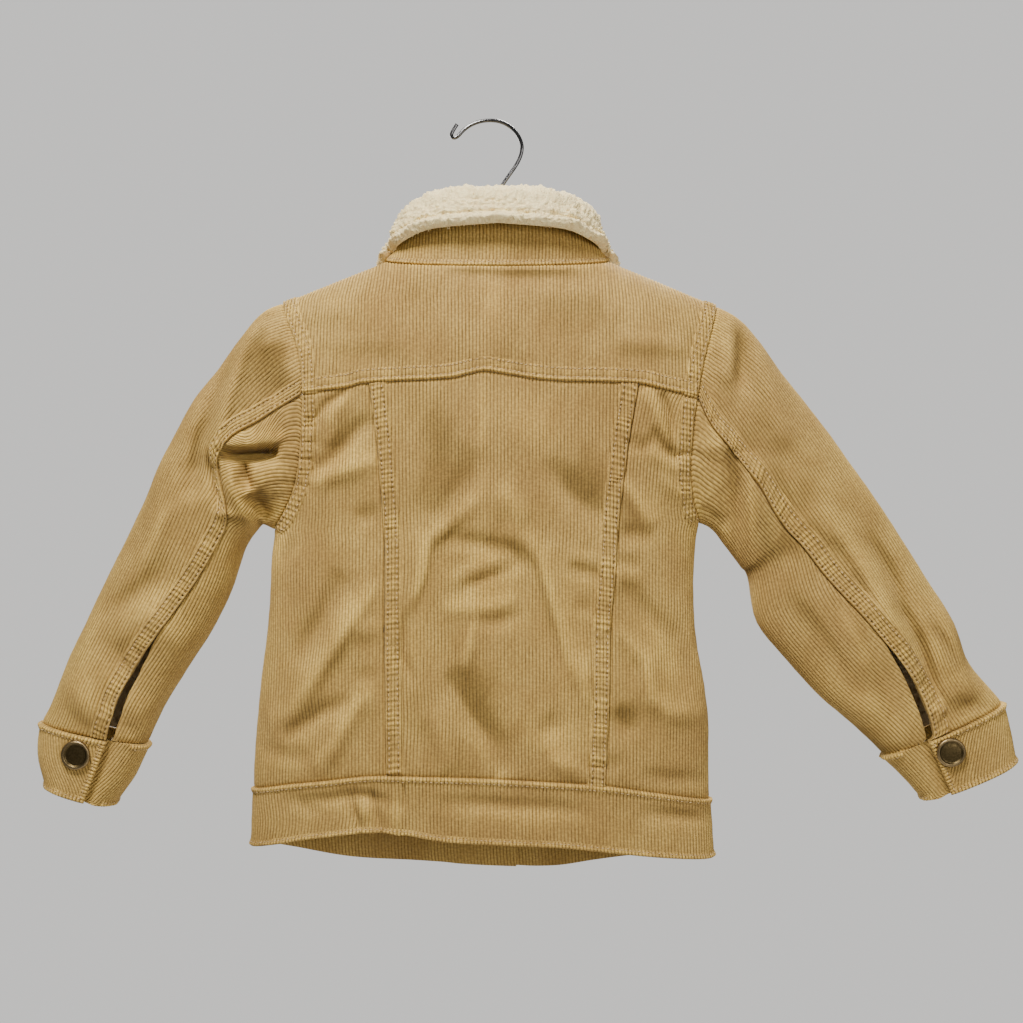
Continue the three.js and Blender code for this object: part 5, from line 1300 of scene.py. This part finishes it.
def cuffBand(name, hand, n, turned, d, seed):
    strip, up, _, _ = cuffPoint(hand, n, turned)
    run = np.concatenate([[0], np.cumsum(np.linalg.norm(np.diff(strip[0], axis=0), axis=1))])
    u, v = np.broadcast_to(run, strip.shape[:2]), np.broadcast_to(d[:, None], strip.shape[:2])
    strip, up, even, u, v = ribbon(strip, up, u, v, corduroy["pitch"] / 4)
    return sewBand(name, (strip, up, even, d, u, v), cuffEdge["width"], (3.1,), seed, rope=0.6, lift=0.6, pucker=0.4, ribs=1.4)


cuffs = {}
for hand, word in ((left, "left"), (right, "right")):
    downs = mix(0.015, 2, rowShares(46, 5))[:, None]
    turned = np.linspace(0, 2 * math.pi + cuffEdge["lap"], 300)[None, :]
    points, facing, grain, _ = cuffPoint(hand, downs, turned)
    d = acrossSteps(cuffEdge["width"], 0.9)
    inTurn, sweep = d[:, None] / cuffEdge["perTurn"], np.linspace(0.02, 2 * math.pi - 0.5, 900)[None, :]
    length = np.linspace(0.03, 1.97, 300)[None, :]
    trims = [
        cuffBand(f"cuffTopBand{word.title()}", hand, 0.015 + inTurn, sweep, d, 60 + hand),
        cuffBand(f"cuffHemBand{word.title()}", hand, 1.99 - inTurn, sweep, d, 64 + hand),
        cuffBand(f"cuffEndBand{word.title()}", hand, length, 0.005 + d[:, None] / cuffPoint(hand, length, 0.05)[3], d, 68 + hand),
    ]
    cuffs[hand] = sewPiece(f"cuff{word.title()}Cloth", f"cuff_{word}", points, facing, grain, 150, unlined,
                           thickness=2.2, dips="")
print("cuffs sewn")

# Collar: stand, roll and fall, by the angle round the neck from the centre back.
collarCut = {
    "stand": curves("angle stand lean roll", [
        (0, 41, -5, 6), (20, 40, -5.5, 6), (35, 37, -8, 5.6), (55, 30.5, -12, 5), (75, 22, -15, 4.4), (90, 15.5, -14, 4),
        (110, 11, -8, 4.2), (140, 8, -3.4, 4.4), (178, 6.5, -2, 4.2),
    ]),
    "backEdge": curves("angle out height", [(0, 9.5, 26), (35, 6.5, 22), (55, 1.5, 15), (75, -3.4, 8.5), (90, -4, 4)]),
    "frontEdge": curves("angle x z", [
        (90, 78, -90), (105, 83, -108), (120, 82, -128), (140, 73, -156), (160, 58, -180), (172, 49, -190),
        (178, 45, -193),
    ]),
    "end": 177.4,
    "pile": 6,
    "underThickness": 1.6,
    "inside": 2.2,
}


def collarPoint(angle, run):
    angle, run = np.broadcast_arrays(np.asarray(angle, float), np.asarray(run, float))
    turned = np.abs(angle)
    neck = bodyCut["neck"]
    s, c = np.sin(np.radians(angle)), np.cos(np.radians(angle))
    deep = np.where(c >= 0, neck[back], neck[front])
    dip = np.where(c >= 0, bodyCut["neckDip"][back] * c, bodyCut["neckDip"][front] * c**2)
    at = stack(neck["x"] + neck["half"] * s, deep * c, neck["z"] - dip)
    out = unit(stack(s / neck["half"], c / deep, 0 * s))
    stand, lean, roll = (collarCut["stand"][name](turned) for name in ("stand", "lean", "roll"))

    def place(outward, height):
        spot = at + out * np.asarray(outward)[..., None]
        spot[..., 2] = at[..., 2] + height
        return spot

    inside = collarCut["inside"]
    onStand = place(-inside + lean * np.maximum(run, 0) ** 1.5, mix(0.6, stand, run))
    centre = -inside + lean + roll
    turn = math.pi * (run - 1)
    onRoll = place(centre - roll * np.cos(turn), stand + roll * np.sin(turn))
    start = place(centre + roll, stand)
    toBack = place(collarCut["backEdge"]["out"](turned), collarCut["backEdge"]["height"](turned))
    t = (run - 2)[..., None]
    x = neck["x"] + np.sign(angle) * collarCut["frontEdge"]["x"](turned)
    z = collarCut["frontEdge"]["z"](turned)
    onChest = stack(x, -bodyDepth(front, x, z) - 4.4, z)
    onBack = mix(start, toBack, t)
    onFront = mix(start, mix(toBack, onChest, ease((turned - 88) / 14)[..., None]), t)
    clear = -bodyDepth(front, onFront[..., 0], onFront[..., 2]) - 4.4
    below = (t[..., 0] > 0) & (onFront[..., 2] < topEdge(front, onFront[..., 0])[0])
    onFront[..., 1] = np.where(below, np.minimum(onFront[..., 1], clear), onFront[..., 1])
    onFall = np.where((turned <= 90)[..., None], onBack, onFront)
    return np.where((run <= 1)[..., None], onStand, np.where((run <= 2)[..., None], onRoll, onFall))


def collarFacing(angle, run):
    along = collarPoint(angle + 0.6, run) - collarPoint(angle - 0.6, run)
    down = collarPoint(angle, run + 0.03) - collarPoint(angle, run - 0.03)
    return unit(np.cross(-along, down)) * -1


def pileThickness(run):
    tip = np.sqrt(np.maximum(0.04, 1 - np.clip((run - 2.75) / 0.25, 0, 1) ** 2))
    # The edge seam makes a plump roll along the lower edge, with a crease above it.
    roll = 1.1 * np.exp(-(((run - 2.82) / 0.1) ** 2)) - 1.5 * np.exp(-(((run - 2.56) / 0.06) ** 2))
    return collarCut["pile"] * tip * mix(0.75, 1, ease(run)) + roll * tip


# A turned edge covers the neck seam round the back.
around = np.linspace(-102, 102, 1600)[None, :]
d = acrossSteps(3.2)
climb = (d[:, None] - 1.3) / collarCut["stand"]["stand"](np.abs(around))
strip, up = collarPoint(around, climb), -collarFacing(around, np.maximum(climb, 0.04))
v = np.broadcast_to(d[:, None], strip.shape[:2])
run = np.concatenate([[0], np.cumsum(np.linalg.norm(np.diff(strip[0], axis=0), axis=1))])
strip, up, even, u, v = ribbon(strip + up * 1.5, up, np.broadcast_to(run, strip.shape[:2]), v, corduroy["pitch"] / 4)
neckBand = sewBand("neckSeamBand", (strip, up, even, d, u, v), 3.2, (2.9,), 51, rope=0.6, lift=0.6, pucker=0.2, ribs=1.3)

# The under collar is corduroy, with its ribs running up from the neck seam.
angles = np.linspace(-collarCut["end"], collarCut["end"], 520)[None, :]
runs = np.concatenate([[0, 0.02, 0.05, 0.1], np.linspace(0.2, 1, 7), np.linspace(1.1, 2, 9), np.linspace(2.1, 2.8, 7)])[:, None]
points, facing = collarPoint(angles, runs), collarFacing(angles, runs)
climbing = unit(collarPoint(angles, np.minimum(runs + 0.02, 2.8)) - collarPoint(angles, np.maximum(runs - 0.02, 0)))
under = sewPiece("underCollarCloth", "collar_under", points - facing * 0.3, -facing, climbing, 260, (clothFinish, sherpaFinish),
                 sunk=-1.0, thickness=1.0, dips="t")

# The sherpa collar: pile over the same line, crowded into small uneven curls.
collarPile = {"curl": 3.4, "curlHeight": 1.9, "lump": 10, "lumpHeight": 1.8, "tufts": 6400, "tuftLength": 2.3, "tuftWidth": 0.95}


def pileHeight(spot):
    cell = Vector(spot / collarPile["curl"])
    near = noise.voronoi(cell)[0]
    curl = min(near[1] - near[0], 0.6) / 0.6
    lump = noise.noise(Vector(spot / collarPile["lump"]))
    return collarPile["curlHeight"] * (curl - 0.55) + collarPile["lumpHeight"] * lump


angles = np.linspace(-collarCut["end"], collarCut["end"], 400)[None, :]
runs = np.concatenate([np.linspace(0, 1, 26)[:-1], np.linspace(1, 2, 20)[:-1], np.linspace(2, 2.9, 26), [2.94, 2.97, 3.0]])[:, None]
points, facing = collarPoint(angles, runs), collarFacing(angles, runs)
high = 0.15 + pileThickness(np.broadcast_to(runs, points.shape[:2]))
outer = points + facing * high[..., None]
curls = np.array([pileHeight(spot) for spot in outer.reshape(-1, 3)]).reshape(high.shape)
outer = outer + facing * curls[..., None]
inner = points + facing * 0.15
uv = np.stack(np.broadcast_arrays(angles, runs * 30), axis=-1)
pile = laySheet("sherpaCollarPile", outer, inner, uv, sherpaFinish)

# Loose tufts: one is drawn out from a cone and curled, and the rest are copies of it, leaning every way.
random = np.random.default_rng(61)
deselectAll()
bpy.ops.mesh.primitive_cone_add(vertices=3, radius1=0.5, radius2=0, depth=1, location=(0, 0, 0.5))
bpy.ops.object.mode_set(mode="EDIT")
bpy.ops.mesh.select_all(action="SELECT")
bpy.ops.mesh.bisect(plane_co=(0, 0, 0.55), plane_no=(0, 0, 1))
bpy.ops.object.mode_set(mode="OBJECT")
single = bpy.context.object
tuft = np.array([v.co for v in single.data.vertices])
tuft[:, 0] += 0.55 * tuft[:, 2] ** 2
tuft[:, :2] *= collarPile["tuftWidth"]
tuft[:, 2] *= collarPile["tuftLength"]
tuftFaces = [list(p.vertices) for p in single.data.polygons]
bpy.data.objects.remove(single)
across = np.linalg.norm(np.diff(outer, axis=0), axis=-1)[:, :-1] * np.linalg.norm(np.diff(outer, axis=1), axis=-1)[:-1]
across = across * (1 + 1.6 * (np.broadcast_to(runs, points.shape[:2])[:-1, :-1] > 2.35))  # thickest along the edge
chosen = random.choice(across.size, collarPile["tufts"], p=(across / across.sum()).ravel())
row, column = np.unravel_index(chosen, across.shape)
share = random.uniform(0, 1, (2, len(chosen), 1))
roots = mix(mix(outer[row, column], outer[row, column + 1], share[0]), mix(outer[row + 1, column], outer[row + 1, column + 1], share[0]), share[1])
upward = unit(facing[row, column] + random.normal(0, 0.45, (len(chosen), 3)))
aside = unit(np.cross(upward, random.normal(0, 1, (len(chosen), 3))))
size = random.uniform(0.6, 1.15, (len(chosen), 1, 1))
turned = np.stack([aside, np.cross(upward, aside), upward], axis=1)
every = (np.einsum("vi,nij->nvj", tuft, turned) * size + (roots - upward * 0.5)[:, None, :]) * mm
mesh = bpy.data.meshes.new("sherpaTufts")
mesh.from_pydata(every.reshape(-1, 3).tolist(), [], [[v + k * len(tuft) for v in f] for k in range(len(chosen)) for f in tuftFaces])
tufts = bpy.data.objects.new("sherpaTufts", mesh)
bpy.context.collection.objects.link(tufts)
tufts.data.materials.append(sherpaFinish)
deselectAll()
tufts.select_set(True)
bpy.context.view_layer.objects.active = tufts
bpy.ops.object.shade_smooth()
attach(tufts, "root")
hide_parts("collar_sherpa")
print("collar sewn")

# Thread: one stitch is modelled, and each of the others is a copy of it in the one mesh.
thread = {"length": 2.3, "width": 0.62, "high": 0.14}
deselectAll()
bpy.ops.mesh.primitive_uv_sphere_add(segments=5, ring_count=3, radius=0.5, location=(0, 0, 0), rotation=(0, math.pi / 2, 0))
bpy.ops.object.transform_apply(location=False, rotation=True, scale=False)
stitch = bpy.context.object
shape = np.array([v.co for v in stitch.data.vertices]) * [thread["length"], thread["width"], thread["width"]]
faces = [list(p.vertices) for p in stitch.data.polygons]
bpy.data.objects.remove(stitch)
middles = np.concatenate([row[0] for row in sewnStitches])
onward = np.concatenate([row[1] for row in sewnStitches])
upward = np.concatenate([row[2] for row in sewnStitches])
sideways = unit(np.cross(upward, onward))
upward = np.cross(onward, sideways)
turned = np.stack([onward, sideways, upward], axis=1)
every = (np.einsum("vi,nij->nvj", shape, turned) + (middles + upward * thread["high"])[:, None, :]) * mm
mesh = bpy.data.meshes.new("topstitching")
mesh.from_pydata(every.reshape(-1, 3).tolist(), [], [[v + k * len(shape) for v in f] for k in range(len(middles)) for f in faces])
topstitching = bpy.data.objects.new("topstitching", mesh)
bpy.context.collection.objects.link(topstitching)
topstitching.data.materials.append(threadLook)
deselectAll()
topstitching.select_set(True)
bpy.context.view_layer.objects.active = topstitching
bpy.ops.object.shade_smooth()
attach(topstitching, "root")
print("stitches", len(middles))

# Metal tack buttons: a raised rim round a sunk, slightly domed middle.
tack = {
    "outline": [(0, 2.55), (3, 2.5), (5.6, 2.35), (6.5, 2.15), (6.9, 2.2), (7.3, 2.75), (7.8, 3.25), (8.5, 3.4), (9.2, 3.15),
                (9.7, 2.5), (9.8, 1.7), (9.5, 1.1), (8.6, 0.9), (3.6, 0.85), (3.2, 0.5), (3.2, 0), (0, 0)],
    "sides": 40,
}


def fixButton(name, node, point, facing):
    # Its outline is drawn as one edge line and spun round.
    deselectAll()
    mesh = bpy.data.meshes.new(name)
    outline = tack["outline"]
    mesh.from_pydata([(r * mm, 0, h * mm) for r, h in outline], [(k, k + 1) for k in range(len(outline) - 1)], [])
    button = bpy.data.objects.new(name, mesh)
    bpy.context.collection.objects.link(button)
    bpy.context.view_layer.objects.active = button
    button.select_set(True)
    bpy.ops.object.mode_set(mode="EDIT")
    bpy.ops.mesh.select_all(action="SELECT")
    bpy.ops.mesh.spin(steps=tack["sides"], angle=2 * math.pi, center=(0, 0, 0), axis=(0, 0, 1))
    bpy.ops.mesh.select_all(action="SELECT")
    bpy.ops.mesh.remove_doubles(threshold=0.01 * mm)
    bpy.ops.mesh.normals_make_consistent(inside=False)
    bpy.ops.object.mode_set(mode="OBJECT")
    button.rotation_euler = Vector(facing).to_track_quat("Z", "Y").to_euler()
    button.location = Vector((point + facing * 0.3) * mm)
    bpy.ops.object.transform_apply(location=True, rotation=True, scale=True)
    bpy.ops.object.shade_smooth_by_angle(angle=math.radians(50))
    button.data.materials.append(brassLook)
    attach(button, "root")
    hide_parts(node)


placket = {"count": 5, "top": -161, "bottom": -440, "waistband": -490}
for k in range(placket["count"]):
    z = np.array(mix(placket["top"], placket["bottom"], k / (placket["count"] - 1)))
    facing = bodyFacing(front, np.array(closure["x"]), z)
    fixButton(f"tackFront{k + 1}", f"button_front_{k + 1}", bodyPoint(front, closure["x"], z) + facing * closure["lift"], facing)
z = np.array(float(placket["waistband"]))
facing = bodyFacing(front, np.array(closure["x"]), z)
fixButton("tackWaistband", "button_waistband", bodyPoint(front, closure["x"], z) + facing * (closure["lift"] * 1.2 + 0.8), facing)
cuffTack = {left: (0.56, 0.465), right: (0.61, 0.584)}
for hand, word in ((left, "left"), (right, "right")):
    n, share = cuffTack[hand]
    cut, angle = cuffCut[hand], angleAt(share)
    along = sectionPoint(cut, np.array(n + 0.02), angle) - sectionPoint(cut, np.array(n - 0.02), angle)
    across = sectionPoint(cut, np.array(n), angle + 0.01) - sectionPoint(cut, np.array(n), angle - 0.01)
    facing = unit(np.cross(along, across))
    facing = facing if facing[1] > 0 else -facing
    fixButton(f"tackCuff{word.title()}", f"button_cuff_{word}", sectionPoint(cut, np.array(n), angle) + facing, facing)
print("buttons fixed")

# The hook is a plated wire, round all the way to its rounded tip.
wire = {
    "radius": 1.25,
    "route": [(-3.5, -103), (-3.5, -84), (-3.5, -70), (-3.9, -58), (-5.2, -49), (-8.8, -42.1), (-13.6, -35.4), (-18.4, -28.6),
              (-21.4, -22), (-22, -15.6), (-19.3, -8.8), (-14, -3), (-7.2, 0.4), (0, 1.25), (7.2, 0.4), (13.6, -2.2),
              (18.2, -5.6), (21.4, -9.4), (24.2, -11.2), (26.4, -9.6), (25.6, -6.4), (22.4, -1.6)],
}
deselectAll()
bend = bpy.data.curves.new("hookRoute", "CURVE")
bend.dimensions = "3D"
line = bend.splines.new("NURBS")
line.points.add(len(wire["route"]) - 1)
for spot, (x, z) in zip(line.points, wire["route"]):
    spot.co = (x * mm, 0, z * mm, 1)
line.order_u, line.use_endpoint_u, line.resolution_u = 3, True, 6
bend.bevel_depth, bend.bevel_resolution, bend.use_fill_caps = wire["radius"] * mm, 4, True
hook = bpy.data.objects.new("hangerHookWire", bend)
bpy.context.collection.objects.link(hook)
hook.select_set(True)
bpy.context.view_layer.objects.active = hook
bpy.ops.object.convert(target="MESH")
hook = bpy.context.object
bpy.ops.object.mode_set(mode="EDIT")
bpy.ops.mesh.select_all(action="SELECT")
bpy.ops.mesh.remove_doubles(threshold=0.005 * mm)
bpy.ops.mesh.normals_make_consistent(inside=False)
bpy.ops.object.mode_set(mode="OBJECT")
bpy.ops.object.shade_smooth_by_angle(angle=math.radians(50))
hook.data.materials.clear()
hook.data.materials.append(wireLook)
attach(hook, "root")
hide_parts("hanger_hook")

board = bpy.data.objects["hanger"]
board.data.materials.clear()
board.data.materials.append(woodLook)

# Stage, lights and camera.
stageLook, tree, shader = newFinish("paleFloor", Roughness=0.8)
shader.inputs["Base Color"].default_value = (0.78, 0.77, 0.75, 1)
deselectAll()
bpy.ops.mesh.primitive_plane_add(size=2.4, location=(0, 0, -1.3))
floor = bpy.context.object
floor.name = "floor"
floor.data.materials.append(stageLook)

lights = {
    "key": ((0.35, 0.85, 0.9), (0, 0, -0.3), 0.45, 37),
    "fill": ((-1.1, 1.8, -0.03), (0, 0, -0.3), 1.0, 19),
    "frontKey": ((-0.35, -0.85, 0.9), (0, 0, -0.3), 0.45, 37),
    "frontFill": ((1.1, -1.8, -0.03), (0, 0, -0.3), 1.0, 19),
}
for name, (place, aim, size, power) in lights.items():
    bpy.ops.object.light_add(type="AREA", location=place)
    lamp = bpy.context.object
    lamp.name = name
    lamp.data.size, lamp.data.energy = size, power
    lamp.data.color = (1.0, 0.965, 0.92)
    lamp.rotation_euler = (Vector(aim) - Vector(place)).to_track_quat("-Z", "Y").to_euler()

world = bpy.context.scene.world or bpy.data.worlds.new("studio")
bpy.context.scene.world = world
world.use_nodes = True
studio = world.node_tree
background = studio.nodes["Background"]
background.inputs[0].default_value = (1.0, 0.985, 0.96, 1)
seen = addNode(studio, "ShaderNodeLightPath").outputs["Is Camera Ray"]
studio.links.new(maths(studio, "MULTIPLY_ADD", seen, 0.64, 0.16), background.inputs[1])  # paler to look at than to light by

view = {"place": (-0.01462, 1.0, -0.26486), "frameWidth": 0.6956}
bpy.ops.object.camera_add(location=view["place"], rotation=(math.pi / 2, 0, math.pi))
camera = bpy.context.object
camera.data.sensor_width = 36
camera.data.lens = 36 * view["place"][1] / view["frameWidth"]
camera.data.clip_start = 0.05
bpy.context.scene.camera = camera

shown = [o for o in bpy.data.objects if o.type == "MESH" and not o.hide_render]
triangles = {o.name: sum(len(p.vertices) - 2 for p in o.data.polygons) for o in shown}
print("triangles", sum(triangles.values()), "most", sorted(triangles.items(), key=lambda item: -item[1])[:12])
